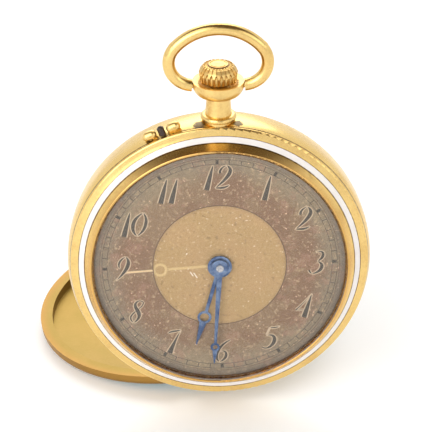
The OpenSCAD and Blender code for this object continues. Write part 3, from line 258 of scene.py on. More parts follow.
class Shader(Builder):
    """A material with one Principled shader, built from expressions."""

    def __init__(self, name, **constants):
        self.material = bpy.data.materials.new(name)
        self.material.use_nodes = True
        super().__init__(self.material.node_tree)
        self.surface = self.tree.nodes["Principled BSDF"]
        for socket, value in constants.items():
            self.surface.inputs[socket.replace("_", " ")].default_value = value
        self.place = self.add("ShaderNodeTexCoord", {}, {}, "Object")

    def axes(self, origin):
        """x, y and z in mm, measured from a point of the frame."""
        moved = self.vector("SUBTRACT", {0: self.place, 1: origin})
        scaled = self.vector("SCALE", {0: moved, "Scale": 1 / MM})
        parts = self.add("ShaderNodeSeparateXYZ", {}, {0: scaled})
        return [Sock(self, output) for output in parts.socket.node.outputs]

    def dial_axes(self):
        """x to 3 o'clock and y to 12 o'clock in mm, measured from the middle of the dial."""
        return self.axes(CENTRE)[::2]

    def distance(self, origin):
        """Distance in mm from a point of the frame."""
        x, y, z = self.axes(origin)
        return (x * x + y * y + z * z) ** 0.5

    def noise(self, per_mm, detail=3.0, rough=0.55):
        """Noise from 0 to 1 in clouds, per_mm of them in a millimetre."""
        settings = {"noise_dimensions": "3D"}
        inputs = {"Vector": self.place, "Scale": per_mm / MM, "Detail": detail, "Roughness": rough}
        return self.add("ShaderNodeTexNoise", settings, inputs, "Fac")

    def step(self, value, start, end):
        """0 where value is below start and 1 above end, smooth between them."""
        settings = {"interpolation_type": "SMOOTHSTEP"}
        return self.add("ShaderNodeMapRange", settings, {0: value, 1: start, 2: end, 3: 0.0, 4: 1.0})

    def mix(self, amount, first, second):
        """The first colour where amount is 0 and the second where it is 1."""
        ends = {MIX_A: first, MIX_B: second}
        colours = {socket: end if isinstance(end, Sock) else (*end, 1.0) for socket, end in ends.items()}
        return self.add("ShaderNodeMix", {"data_type": "RGBA"}, {"Factor": amount, **colours}, MIX_RESULT)

    def layers(self, tone, *layers):
        """A colour under layers, each given as its mask, its strength and its colour."""
        for mask, strength, layer in layers:
            tone = self.mix(mask * strength, tone, layer)
        return tone

    def feed(self, socket, value):
        """Links a value to a socket of the Principled shader."""
        self.tree.links.new(value.socket, self.surface.inputs[socket])

    def bump(self, height, depth_mm):
        inputs = {"Height": height, "Distance": depth_mm * MM, "Strength": 1.0}
        self.feed("Normal", self.add("ShaderNodeBump", {}, inputs, "Normal"))


def radius_of(x, y):
    """Distance from an axis."""
    return (x * x + y * y) ** 0.5


def ring_mask(shader, radius, at, width):
    """1 on a ring at a radius and 0 a width away from it."""
    return 1 - shader.step(abs(radius - at), width * 0.4, width)


def cover_material():
    """Matt gold with a redder, soiled edge; the edge is found by its distance from the cover's middle."""
    look = finish_colours()
    shader = Shader("matt_cover_gold", Metallic=1.0)
    cloud = shader.noise(0.3, 4.0)
    fine = shader.noise(5.0, 5.0)
    reach = shader.distance(COVER_MIDDLE) + (fine - 0.5) * 0.4
    tone = shader.layers(
        look.cover_gold,
        (shader.step(cloud, 0.4, 0.65), 0.4, CLOUDED_COVER),
        (shader.step(reach, COVER_RADIUS - 1.3, COVER_RADIUS - 0.3), 0.8, look.cover_rim),
    )
    shader.feed("Base Color", tone)
    shader.feed("Roughness", 0.34 + 0.2 * fine)
    shader.bump(fine, 0.004)
    return shader.material


def gold_material(name, rub=0.5, roughness=0.16, joints=(), collars=(), dark_patches=(), warm_slope=None):
    """Polished gold with dark polish in its joints.

    rub is the share of deep gold in its clouds. joints are radii and widths in mm about the dial,
    collars the same about the stem, and stains the x, depth and size in mm of marks beside the stem.
    warm_slope is the pair of radii about the dial between which the gold turns redder inwards.
    """
    look = finish_colours()
    shader = Shader(name, Metallic=1.0)
    cloud = shader.noise(0.35)
    fine = shader.noise(4.0, 5.0)
    scratch = shader.noise(22.0, 2.0)
    tone = shader.mix(shader.step(cloud * 0.6 + fine * 0.4, 0.42, 0.66) * rub, look.gold, look.deep_gold)
    about_dial = radius_of(*shader.dial_axes())
    stem_x, stem_y = shader.axes((0, 0, 0))[:2]
    about_stem = radius_of(stem_x, stem_y)
    if warm_slope:
        tone = shader.layers(tone, (1 - shader.step(about_dial, *warm_slope), 0.9, look.warm_gold))
    dirt = 0.62 + 0.3 * shader.step(fine, 0.35, 0.6)
    for radius, places in ((about_dial, joints), (about_stem, collars)):
        for at, width in places:
            tone = shader.layers(tone, (ring_mask(shader, radius, at, width), dirt, look.patina))
    # Dark blue-grey patches, darkest at their middles
    for at_x, at_y, size in dark_patches:
        spread = radius_of(stem_x - at_x, stem_y - at_y) + (fine - 0.5) * 0.8
        tone = shader.layers(tone, (1 - shader.step(spread, size * 0.6, size), 0.85, look.stain))
    shader.feed("Base Color", tone)
    shader.feed("Roughness", roughness + 0.14 * fine + 0.06 * scratch)
    shader.bump(scratch * 0.3 + fine, 0.0016)
    return shader.material


def white_enamel_material():
    look = finish_colours()
    shader = Shader("white_enamel_glaze", Roughness=0.16, Coat_Weight=0.6, Coat_Roughness=0.05)
    clouds = shader.step(shader.noise(0.8, 4.0), 0.5, 0.75)
    shader.feed("Base Color", shader.mix(clouds * 0.5, look.white_enamel, YELLOWED_ENAMEL))
    shader.bump(shader.noise(1.5), 0.01)
    return shader.material


# Angle in radians that the waves under the cover's enamel turn through in a millimetre
WAVE_TURN = 9.0


def cover_enamel_material():
    """Glazed enamel over faint waves about the cover's middle."""
    look = finish_colours()
    shader = Shader("cover_enamel_glaze", Roughness=0.12, Coat_Weight=0.8, Coat_Roughness=0.04)
    wave = shader.maths("SINE", shader.distance(COVER_MIDDLE) * WAVE_TURN) * 0.5 + 0.5
    cloud = shader.noise(0.25, 3.0)
    tone = shader.layers(
        look.cover_enamel,
        (shader.step(cloud, 0.35, 0.7), 0.3, ENAMEL_CLOUD),
        (wave, 0.25, ENAMEL_WAVE),
    )
    shader.feed("Base Color", tone)
    shader.bump(shader.noise(0.8), 0.02)
    return shader.material


def crystal_material():
    """Clear glass that shows more at a slant."""
    shader = Shader("crystal_glass", Base_Color=(1.0, 1.0, 1.0, 1.0), Roughness=0.03, IOR=1.5)
    edge = shader.add("ShaderNodeFresnel", {}, {"IOR": 1.25})
    shader.feed("Alpha", 0.008 + 0.5 * edge)
    return shader.material


# Where a hand lay for years and left its shape on the dial: its clock angle in degrees, and in mm the
# distance of its ring from the middle, the ring's radius and the ends of its blade and its arm
GHOST_CLOCK = 266.0
GHOST_RING_AT = 5.9
GHOST_RING_RADIUS = 0.6
GHOST_BLADE = (6.5, 9.4)
GHOST_ARM = (0.9, 5.2)
# Ends of the scratches on the gilt centre, x and y in mm
SCRATCHES = (((-2.95, -0.65), (-2.6, -1.2)), ((-2.6, -0.75), (-2.2, -1.4)), ((-3.3, 1.2), (-3.2, 1.45)))


def stroke_mask(shader, x, y, start, end, width):
    """1 along a straight line on the dial and 0 a width away from it."""
    line = Vector(end) - Vector(start)
    over, up = line.normalized()
    along = (x - start[0]) * over + (y - start[1]) * up
    across = abs((x - start[0]) * up - (y - start[1]) * over)
    ends = shader.step(along, 0, width) * (1 - shader.step(along, line.length - width, line.length))
    return (1 - shader.step(across, width * 0.4, width)) * ends


def ghost_mask(shader, x, y, ends, width):
    """A straight part of the hand's ghost, between two distances from the dial's middle."""
    start, end = (at_clock(radius, GHOST_CLOCK) for radius in ends)
    return stroke_mask(shader, x, y, start, end, width)


def dial_material():
    """Browned silver in olive and pink patches, greyer beside the bezel, with painted shadow of the bezel
    along its edge and the ghost of a hand.
    """
    look = finish_colours()
    shader = Shader("browned_dial", Metallic=0.35)
    x, y = shader.dial_axes()
    radius = radius_of(x, y)
    cloud = shader.noise(0.24, 5.0, 0.6)
    patch = shader.noise(0.55, 6.0, 0.7)
    fine = shader.noise(2.6, 6.0, 0.7)
    speck = shader.noise(3.6, 1.0)
    tone = shader.mix(shader.step(radius + cloud * 3.0, 10.4, 12.6), look.chapter, look.chapter_edge)
    tone = shader.layers(
        tone,
        (shader.step(cloud, 0.46, 0.56), 0.35, DIAL_OLIVE),
        (shader.step(patch, 0.52, 0.62), 0.45, DIAL_PINK),
        (shader.step(fine, 0.54, 0.66), 0.6, DIAL_LIGHT_GRAIN),
        (1 - shader.step(fine, 0.34, 0.46), 0.5, DIAL_DARK_GRAIN),
        (shader.step(speck, 0.68, 0.73), 0.8, DIAL_SPECK),
        # Painted shadow of the bezel, darkening the dial's outer edge
        (shader.step(radius, DIAL_RADIUS - 0.85, DIAL_RADIUS - 0.25), 0.4, DIAL_EDGE_PAINTED_SHADOW),
        (ghost_mask(shader, x, y, GHOST_BLADE, 0.15), 0.85, DIAL_GHOST),
    )
    shader.feed("Base Color", tone)
    shader.feed("Roughness", 0.5 + 0.2 * fine)
    shader.bump(fine + speck * 0.4, 0.018)
    return shader.material


def dial_centre_material():
    """Matt gilding with pits, painted glints and scratches, and the ghost of a hand's ring and arm."""
    look = finish_colours()
    shader = Shader("gilt_dial_centre", Metallic=0.4)
    x, y = shader.dial_axes()
    cloud = shader.noise(0.3, 4.0)
    fine = shader.noise(3.6, 7.0, 0.75)
    speck = shader.noise(2.2, 1.0)
    glint_noise = shader.noise(4.2, 1.0)
    ring_x, ring_y = at_clock(GHOST_RING_AT, GHOST_CLOCK)
    from_ring = abs(radius_of(x - ring_x, y - ring_y) - GHOST_RING_RADIUS)
    arm = ghost_mask(shader, x, y, GHOST_ARM, 0.2)
    ghost = shader.maths("MAXIMUM", arm, 1 - shader.step(from_ring, 0.06, 0.2))
    tone = shader.layers(
        look.gilt,
        (shader.step(cloud, 0.42, 0.6), 0.6, GILT_CLOUD),
        (1 - shader.step(fine, 0.36, 0.52), 0.4, GILT_DARK_GRAIN),
        (shader.step(fine, 0.54, 0.68), 0.45, GILT_LIGHT_GRAIN),
        (shader.step(speck, 0.66, 0.71), 0.5, GILT_PIT),
        # Painted glints: small bright dots standing in for light caught by the frosted grain
        (shader.step(glint_noise, 0.70, 0.74), 0.7, GILT_PAINTED_GLINT),
        (ghost, 0.65, GILT_GHOST),
        *((stroke_mask(shader, x, y, start, end, 0.07), 0.9, GILT_SCRATCH) for start, end in SCRATCHES),
        (shader.step(radius_of(x, y), GILT_RADIUS - 0.35, GILT_RADIUS), 0.35, GILT_EDGE),
    )
    shader.feed("Base Color", tone)
    shader.feed("Roughness", 0.46 + 0.25 * fine)
    shader.bump(fine, 0.03)
    return shader.material


def print_material(name, base, roughness, metallic=0.0):
    """Print that is worn towards the colour of the dial in places."""
    shader = Shader(name, Metallic=metallic)
    wear = shader.noise(5.0, 3.0)
    worn = tuple(0.6 * part + 0.4 * old for part, old in zip(base, finish_colours().chapter))
    shader.feed("Base Color", shader.mix(shader.step(wear, 0.5, 0.72) * 0.6, base, worn))
    shader.feed("Roughness", roughness + 0.15 * wear)
    return shader.material


def blued_steel_material():
    look = finish_colours()
    shader = Shader("blued_steel", Metallic=0.75)
    clouds = shader.step(shader.noise(0.9, 3.0), 0.4, 0.65)
    fine = shader.noise(9.0, 2.0)
    shader.feed("Base Color", shader.mix(clouds, look.blued_steel, LIGHT_BLUE))
    shader.feed("Roughness", 0.26 + 0.12 * fine)
    shader.bump(fine, 0.003)
    return shader.material


def steel_material(name="bright_steel", base=None, roughness=0.22):
    shader = Shader(name, Metallic=1.0)
    fine = shader.noise(7.0, 4.0)
    tone = base or finish_colours().steel
    darker = tuple(part * 0.7 for part in tone)
    shader.feed("Base Color", shader.mix(shader.step(fine, 0.4, 0.7), tone, darker))
    shader.feed("Roughness", roughness + 0.14 * fine)
    shader.bump(fine, 0.003)
    return shader.material


# Direction across the stripes on the bridges, and half of the distance between them in mm
STRIPE_X, STRIPE_Y = 0.8, 0.6
STRIPE_HALF = 0.55


def plate_material():
    """Frosted gilding with straight polishing stripes across the bridges."""
    look = finish_colours()
    shader = Shader("frosted_gilding", Metallic=1.0)
    x, y = shader.dial_axes()
    frost = shader.noise(11.0, 4.0, 0.7)
    clouds = shader.step(shader.noise(0.4), 0.4, 0.7)
    stripe = shader.maths("PINGPONG", x * STRIPE_X + y * STRIPE_Y, STRIPE_HALF)
    shader.feed("Base Color", shader.mix(clouds * 0.5, look.plate_gilt, WORN_GILDING))
    shader.feed("Roughness", 0.28 + 0.12 * frost + 0.16 * stripe)
    shader.bump(frost + stripe * 0.6, 0.006)
    return shader.material


def ruby_material():
    shader = Shader("ruby_jewel", Roughness=0.06, Coat_Weight=0.7)
    shader.feed("Base Color", shader.mix(shader.noise(1.5), RUBY, DARK_RUBY))
    return shader.material


# Pieces

def placed(name, shape, material):
    """An object in the scene made from a bmesh."""
    mesh = bpy.data.meshes.new(name)
    shape.to_mesh(mesh)
    shape.free()
    mesh.materials.append(material)
    made = bpy.data.objects.new(name, mesh)
    bpy.context.scene.collection.objects.link(made)
    return made


def new_piece(name, shape, material, body):
    """A piece made from a bmesh, shaded smooth up to an angle, that rides on a body."""
    for face in shape.faces:
        face.smooth = True
    for edge in shape.edges:
        edge.smooth = edge.is_manifold and edge.calc_face_angle(0.0) < SHARP
    piece = placed(name, shape, material)
    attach(piece, body)
    return piece


def finished(node, material, break_mm=0.0):
    """A welded copy of a solid with smooth shading and, if asked, broken edges."""
    shape = bmesh.new()
    shape.from_mesh(frame["nodes"][node].data)
    bmesh.ops.remove_doubles(shape, verts=shape.verts, dist=WELD)
    if break_mm:
        bmesh.ops.dissolve_limit(shape, angle_limit=math.radians(1), verts=shape.verts, edges=shape.edges)
        edges = [e for e in shape.edges if e.is_manifold and e.calc_face_angle(0.0) > SHARP]
        bmesh.ops.bevel(shape, geom=edges, offset=break_mm * MM, segments=2, profile=0.5, affect="EDGES",
                        material=-1, clamp_overlap=True)
    piece = new_piece(node + "_finish", shape, material, BODY_OF[node])
    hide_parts(node)
    return piece


# Heights in mm: of the bottom of printed rings and bars over the dial, and from there to their face
RING_LIFT = 0.002
BAR_LIFT = 0.003
PRINT_HEIGHT = 0.004
# Steps in a printed ring
RING_STEPS = 180


def ring(shape, inner, outer):
    """A flat ring over the dial, spun from one radial edge."""
    ends = [shape.verts.new(on_dial(0, radius, RING_LIFT)) for radius in (inner, outer)]
    edge = shape.edges.new(ends)
    bmesh.ops.spin(shape, geom=[*ends, edge], cent=CENTRE, axis=(0, 1, 0), angle=math.tau,
                   steps=RING_STEPS, use_merge=True)


def bar(shape, clock, inner, outer, width):
    """A short radial bar over the dial."""
    turn = Matrix.Rotation(math.radians(clock), 4, "Y")
    size = Matrix.Diagonal((width * MM, 1, (outer - inner) * MM, 1))
    upright = Matrix.Rotation(math.pi / 2, 4, "X")
    middle = on_dial(*at_clock((inner + outer) / 2, clock), BAR_LIFT)
    place = Matrix.Translation(middle) @ turn @ size @ upright
    bmesh.ops.create_grid(shape, x_segments=1, y_segments=1, size=0.5, matrix=place)


def printed(name, shape, material):
    """Gives flat print its little height and makes it a piece that rides with the dial."""
    bmesh.ops.recalc_face_normals(shape, faces=shape.faces)
    made = bmesh.ops.extrude_face_region(shape, geom=shape.faces[:])
    verts = [v for v in made["geom"] if isinstance(v, bmesh.types.BMVert)]
    bmesh.ops.translate(shape, verts=verts, vec=(0, -PRINT_HEIGHT * MM, 0))
    bmesh.ops.recalc_face_normals(shape, faces=shape.faces)
    return new_piece(name, shape, material, BODY_OF["dial"])


# Strokes of each figure: points of x, y and width for a figure two units high, drawn with a swelling pen
FIGURES = {
    "0": [
        [
            (0.12, 0.96, 0.05), (-0.36, 0.6, 0.22), (-0.52, 0.0, 0.34),
            (-0.36, -0.62, 0.22), (0.02, -0.96, 0.05),
        ],
        [(0.12, 0.96, 0.05), (0.42, 0.6, 0.2), (0.54, 0.0, 0.28), (0.4, -0.6, 0.2), (0.02, -0.96, 0.05)],
    ],
    "1": [[(0.08, 1.0, 0.06), (0.05, 0.4, 0.26), (0.02, -0.4, 0.34), (0.0, -1.0, 0.38)]],
    "2": [
        [(-0.3, 0.36, 0.2), (-0.42, 0.62, 0.2), (-0.2, 0.92, 0.1), (0.08, 0.98, 0.06)],
        [(0.08, 0.98, 0.06), (0.5, 0.7, 0.3), (0.38, 0.14, 0.3), (0.0, -0.4, 0.18), (-0.42, -0.84, 0.05)],
        [(-0.42, -0.86, 0.06), (-0.08, -0.78, 0.2), (0.22, -0.94, 0.24), (0.58, -0.6, 0.05)],
    ],
    "3": [
        [(-0.3, 0.82, 0.06), (0.06, 0.98, 0.08), (0.4, 0.7, 0.28), (0.28, 0.26, 0.22), (0.0, 0.06, 0.05)],
        [
            (0.0, 0.06, 0.05), (0.38, -0.1, 0.22), (0.5, -0.5, 0.32),
            (0.22, -0.88, 0.18), (-0.2, -0.98, 0.06),
        ],
        [(-0.46, -0.66, 0.16), (-0.4, -0.84, 0.14), (-0.2, -0.98, 0.06)],
    ],
    "4": [
        [(0.34, 0.98, 0.05), (-0.12, 0.2, 0.09), (-0.6, -0.36, 0.1)],
        [(-0.6, -0.38, 0.08), (0.0, -0.36, 0.09), (0.5, -0.36, 0.05)],
        [(0.32, 0.95, 0.05), (0.24, 0.1, 0.28), (0.14, -1.0, 0.38)],
    ],
    "5": [
        [(-0.16, 0.9, 0.06), (0.12, 0.8, 0.16), (0.56, 0.96, 0.05)],
        [(-0.16, 0.9, 0.06), (-0.3, 0.24, 0.07)],
        [
            (-0.3, 0.2, 0.05), (0.14, 0.34, 0.14), (0.48, -0.12, 0.34),
            (0.3, -0.7, 0.24), (-0.1, -0.96, 0.08), (-0.38, -0.8, 0.12),
        ],
    ],
    "6": [
        [
            (0.46, 0.94, 0.08), (0.0, 0.64, 0.16), (-0.42, 0.0, 0.28),
            (-0.34, -0.64, 0.24), (0.0, -0.96, 0.05),
        ],
        [
            (0.0, -0.96, 0.05), (0.4, -0.72, 0.22), (0.46, -0.28, 0.28),
            (0.2, 0.08, 0.08), (-0.2, -0.06, 0.05),
        ],
    ],
    "7": [
        [(-0.5, 0.64, 0.07), (-0.36, 0.88, 0.16), (0.0, 0.8, 0.2), (0.4, 0.94, 0.06)],
        [(0.4, 0.94, 0.05), (0.14, 0.1, 0.12), (-0.08, -1.0, 0.42)],
    ],
    "8": [
        [
            (0.36, 0.74, 0.1), (0.04, 0.98, 0.07), (-0.32, 0.66, 0.18), (-0.08, 0.2, 0.28),
            (0.28, -0.2, 0.32), (0.3, -0.7, 0.18), (-0.04, -0.98, 0.06),
        ],
        [
            (-0.04, -0.98, 0.06), (-0.44, -0.66, 0.16), (-0.3, -0.2, 0.12),
            (0.16, 0.2, 0.08), (0.4, 0.54, 0.1), (0.36, 0.74, 0.1),
        ],
    ],
    "9": [
        [(0.1, 0.98, 0.05), (-0.34, 0.7, 0.2), (-0.4, 0.3, 0.2), (-0.14, 0.0, 0.05)],
        [
            (0.1, 0.98, 0.05), (0.44, 0.64, 0.28), (0.42, 0.06, 0.32),
            (0.12, -0.54, 0.16), (-0.26, -1.0, 0.04),
        ],
    ],
}
# How far the figures of a two-figure numeral stand from its middle, in units of half a figure's height
PAIR_PLACES = {"10": (-0.52, 0.42), "11": (-0.38, 0.38), "12": (-0.6, 0.42)}
# How much wider than its points say the pen draws
PEN_SPREAD = 1.18
# Height in mm of the numerals, and the height of their bright edges and how much wider these are
NUMERAL_HEIGHT = 0.05
EDGE_HEIGHT = 0.022
EDGE_SPREAD = 0.13


def draw_numerals(name, material, height, spread=0.0):
    """The hour numerals as flattened swelling strokes, a spread in mm wider than their points say.

    The pen is half a millimetre in radius, so the radius of a point is the width of the stroke there.
    """
    dial = bpy.context.scene.watch_dial
    unit = dial.numeral_height / 2
    pen = bpy.data.curves.new(name, "CURVE")
    pen.dimensions = "3D"
    pen.bevel_depth = 0.5
    pen.bevel_resolution = 2
    pen.resolution_u = 5
    pen.use_fill_caps = True
    for hour in range(1, HOURS + 1):
        middle_x, middle_y = at_clock(dial.numeral_ring, hour * 360 / HOURS - dial.turn)
        text = str(hour)
        for figure, shift in zip(text, PAIR_PLACES.get(text, (0.0,))):
            for stroke in FIGURES[figure]:
                line = pen.splines.new("NURBS")
                line.points.add(len(stroke) - 1)
                line.order_u = min(4, len(stroke))
                line.use_endpoint_u = True
                for point, (x, y, width) in zip(line.points, stroke):
                    lean = y * dial.numeral_slant
                    point.co = (middle_x + (x + shift + lean) * unit, middle_y + y * unit, 0, 1)
                    point.radius = width * PEN_SPREAD * unit + spread
    drawn = bpy.data.objects.new(name, pen)
    bpy.context.scene.collection.objects.link(drawn)
    bpy.context.view_layer.update()
    solid = bpy.data.meshes.new_from_object(drawn.evaluated_get(bpy.context.evaluated_depsgraph_get()))
    shape = bmesh.new()
    shape.from_mesh(solid)
    bpy.data.objects.remove(drawn)
    bpy.data.meshes.remove(solid)
    flat = Matrix.Diagonal((MM, MM, height * MM, 1))
    stand = Matrix.Rotation(math.pi / 2, 4, "X")
    bmesh.ops.transform(shape, matrix=Matrix.Translation(CENTRE) @ stand @ flat, verts=shape.verts)
    bmesh.ops.recalc_face_normals(shape, faces=shape.faces)
    return new_piece(name, shape, material, BODY_OF["dial"])


# Dark lines round the band and the bezel: their radii about the dial and their widths, in mm
BAND_LINES = ((BEZEL_RADIUS, 0.06),)
BEZEL_LINES = ((ENAMEL_RADIUS + 0.02, 0.06), (ENAMEL_RADIUS - 0.54, 0.08), (DIAL_RADIUS + 0.02, 0.12))
# Where the bezel's gold turns from warm to plain, as radii about the dial in mm
WARM_SLOPE = (DIAL_RADIUS, ENAMEL_RADIUS - 0.5)
# Dark blue-grey patches on the band, two of them beside the collar: x, depth and size in mm
BAND_DARK_PATCHES = ((-1.9, -1.0, 0.75), (1.85, -0.8, 0.6), (-6.7, -1.2, 0.45))
# Radius and width of the dark groove round the crown's cap, in mm
CAP_GROOVE = (CAP_RADIUS + 0.05, 0.12)


class WATCH_OT_case(bpy.types.Operator):
    """Finishes the band, bezel, enamel ring, crystal and pusher guards"""

    bl_idname = "watch.case"
    bl_label = "Case"

    def execute(self, context):
        band = gold_material("band_gold", rub=0.3, joints=BAND_LINES, dark_patches=BAND_DARK_PATCHES)
        bezel = gold_material("bezel_gold", 0.6, 0.12, joints=BEZEL_LINES, warm_slope=WARM_SLOPE)
        finished("case_band", band)
        finished("bezel", bezel)
        finished("bezel_enamel", white_enamel_material())
        finished("crystal", crystal_material())
        finished("pendant", gold_material("pendant_gold", 1.0, 0.2))
        finished("pendant_collar", gold_material("collar_gold", 0.7, 0.18))
        finished("guard_lugs", gold_material("lug_gold", 0.8, 0.2))
        finished("cover_hinge_pin", gold_material("pin_gold", 0.9, 0.25))
        finished("inner_hinge_pin", gold_material("inner_pin_gold", 0.9, 0.25))
        finished("pusher", steel_material("dark_steel", PUSHER_STEEL, 0.3), break_mm=0.04)
        return {"FINISHED"}


class WATCH_OT_covers(bpy.types.Operator):
    """Finishes the enamelled back cover and the inner cover"""

    bl_idname = "watch.covers"
    bl_label = "Covers"

    def execute(self, context):
        finished("back_cover", cover_material())
        finished("cover_enamel", cover_enamel_material())
        finished("inner_cover", gold_material("inner_cover_gold", 0.3, 0.14))
        return {"FINISHED"}


class WATCH_OT_crown_and_bow(bpy.types.Operator):
    """Finishes the fluted crown, its stem and the bow"""

    bl_idname = "watch.crown_and_bow"
    bl_label = "Crown and bow"

    def execute(self, context):
        finished("crown", gold_material("crown_gold", 0.6, 0.3, collars=(CAP_GROOVE,)))
        finished("crown_cap", gold_material("cap_gold", 1.0, 0.3, collars=(CAP_GROOVE,)))
        finished("bow", gold_material("bow_gold", 0.45, 0.12))
        for node in ("winding_stem", "winding_pinion"):
            finished(node, steel_material(node + "_steel"))
        return {"FINISHED"}


# Widths in mm of the minute track's bars, and how far the bars reach past or short of the track's lines
HOUR_BAR_WIDTH = 0.3
MINUTE_BAR_WIDTH = 0.07
BAR_REACH = 0.02
HOUR_BAR_SHORT = 0.06
# Grooves in the dial, drawn as flat dark rings of painted shade and dirt: the inner and the outer radius
# of each, in mm
GROOVES = ((GILT_RADIUS - 0.02, GILT_RADIUS + 0.07), (DIAL_RADIUS - 0.62, DIAL_RADIUS - 0.58))


class WATCH_OT_dial(bpy.types.Operator):
    """Finishes the dial and adds its numerals, its minute track and the painted shade and dirt of its
    grooves
    """

    bl_idname = "watch.dial"
    bl_label = "Dial"

    def execute(self, context):
        dial = context.scene.watch_dial
        look = finish_colours()
        finished("dial", dial_material())
        finished("dial_centre", dial_centre_material())
        ink = print_material("numeral_ink", look.numeral, 0.5)
        bright = print_material("numeral_edge_gilt", look.numeral_edge, 0.35, 0.6)
        draw_numerals("numeral_edges", bright, EDGE_HEIGHT, EDGE_SPREAD)
        draw_numerals("numerals", ink, NUMERAL_HEIGHT)
        track = bmesh.new()
        for radius in (dial.track_inner, dial.track_outer):
            ring(track, radius - dial.line_width / 2, radius + dial.line_width / 2)
        for minute in range(MINUTES):
            on_hour = minute % (MINUTES // HOURS) == 0
            outer = dial.track_outer - HOUR_BAR_SHORT * on_hour
            width = HOUR_BAR_WIDTH if on_hour else MINUTE_BAR_WIDTH
            clock = minute * 360 / MINUTES - dial.turn
            bar(track, clock, dial.track_inner - BAR_REACH, outer, width)
        printed("minute_track", track, ink)
        # Flat dark rings where the dial has grooves: painted shade of the grooves, with dirt in them
        grooves = bmesh.new()
        for inner, outer in GROOVES:
            ring(grooves, inner, outer)
        printed("dial_grooves", grooves, print_material("groove_shade_and_dirt", GROOVE_SHADE_AND_DIRT, 0.6))
        return {"FINISHED"}


class WATCH_OT_hands(bpy.types.Operator):
    """Finishes the blued hands and the arbor between them"""

    bl_idname = "watch.hands"
    bl_label = "Hands"

    def execute(self, context):
        blue = blued_steel_material()
        for hand in ("hour_hand", "minute_hand"):
            finished(hand, blue, break_mm=0.035)
        finished("cannon_pinion", steel_material("cannon_steel", roughness=0.12))
        return {"FINISHED"}


# Bridges with broken edges, and screws that are blued where the record only says steel
BROKEN_BRIDGES = ("barrel_bridge", "train_bridge", "balance_cock")
BLUED_SCREWS = ("bridge_screws", "case_screws")


class WATCH_OT_movement(bpy.types.Operator):
    """Finishes the plates, wheels, springs, screws and jewels of the movement"""

    bl_idname = "watch.movement"
    bl_label = "Movement"

    def execute(self, context):
        materials = {
            "gilt": plate_material(),
            "steel": steel_material(),
            "ruby": ruby_material(),
            "blued_steel": blued_steel_material(),
        }
        for node, slot in SLOT_OF.items():
            if node + "_finish" in bpy.data.objects:
                continue
            material = materials["blued_steel" if node in BLUED_SCREWS else slot]
            if node in BROKEN_BRIDGES:
                finished(node, material, break_mm=0.05)
            else:
                own = frame["nodes"][node]
                own.data.materials.clear()
                own.data.materials.append(material)
        return {"FINISHED"}


class WATCH_OT_stage(bpy.types.Operator):
    """Sets up the pale floor, the soft lights, the surroundings and the camera"""

    bl_idname = "watch.stage"
    bl_label = "Stage"

    def execute(self, context):
        lay_floor()
        light_studio()
        paint_world()
        stand_camera()
        return {"FINISHED"}


# The pale floor: half of its width and how far back its middle lies in metres, its depth under the watch
# in mm, its glow, and the two tones it is clouded with
FLOOR_REACH = 4.0
FLOOR_BACK = 0.5
FLOOR_GAP = 0.02
FLOOR_GLOW = 0.16
FLOOR_TONES = ((0.93, 0.94, 0.955), (0.95, 0.96, 0.97))


def lay_floor():
    white = (1.0, 1.0, 1.0, 1.0)
    shader = Shader("pale_floor", Roughness=0.55, Emission_Color=white, Emission_Strength=FLOOR_GLOW)
    shader.feed("Base Color", shader.mix(shader.noise(0.02), *FLOOR_TONES))
    shape = bmesh.new()
    level = Matrix.Translation((0, FLOOR_BACK, CAD_BOX[0][2] - FLOOR_GAP * MM))
    bmesh.ops.create_grid(shape, x_segments=1, y_segments=1, size=FLOOR_REACH, matrix=level)
    floor = placed("floor", shape, shader.material)


# Each round light: its place from the middle of the dial and its width in metres, and its power in watts
LIGHTS = {
    "key_light": ((-0.36, -0.4, 0.46), 0.7, 1.9),
    "fill_light": ((0.5, -0.4, 0.4), 0.5, 0.6),
    "front_light": ((-0.35, -0.55, 0.22), 0.5, 1.0),
    "back_light": ((0.0, 0.6, 0.5), 0.7, 2.2),
}


def light_studio():
    for name, (place, size, power) in LIGHTS.items():
        light = bpy.data.lights.new(name, "AREA")
        light.shape = "DISK"
        light.size = size
        light.energy = power
        lamp = bpy.data.objects.new(name, light)
        bpy.context.scene.collection.objects.link(lamp)
        lamp.location = CENTRE + Vector(place)
        lamp.rotation_euler = (-Vector(place)).to_track_quat("-Z", "Y").to_euler()


# The tent's opening: the height over the floor at which it is centred, in degrees, how much wider than
# high it is, and the cosines of the angles from its middle at which it begins to darken and is darkest
OPENING_RISE = 76.0
OPENING_STRETCH = 2.0
OPENING_EDGE = 0.66
OPENING_DARK = 0.88
TENT_WHITE = (1.0, 1.0, 1.0, 1.0)
TENT_DARK = (0.12, 0.085, 0.05, 1.0)


def paint_world():
    """A white tent with a dark opening overhead, which is what gives polished gold its dark lines."""
    world = bpy.data.worlds.new("studio")
    bpy.context.scene.world = world
    world.use_nodes = True
    builder = Builder(world.node_tree)
    rise = math.radians(OPENING_RISE)
    opening = (0, -math.cos(rise), math.sin(rise))
    direction = builder.add("ShaderNodeTexCoord", {}, {}, "Generated")
    squeezed = builder.vector("MULTIPLY", {0: direction, 1: (1 / OPENING_STRETCH, 1, 1)})
    evened = builder.vector("NORMALIZE", {0: squeezed})
    toward = builder.vector("DOT_PRODUCT", {0: evened, 1: opening}, "Value")
    tone = builder.add("ShaderNodeValToRGB", {}, {0: toward})
    white, dark = tone.socket.node.color_ramp.elements
    white.position, white.color = OPENING_EDGE, TENT_WHITE
    dark.position, dark.color = OPENING_DARK, TENT_DARK
    tent = builder.tree.nodes["Background"]
    builder.tree.links.new(tone.socket, tent.inputs["Color"])
    tent.inputs["Strength"].default_value = 1.0
    bpy.context.scene.view_settings.view_transform = "Standard"


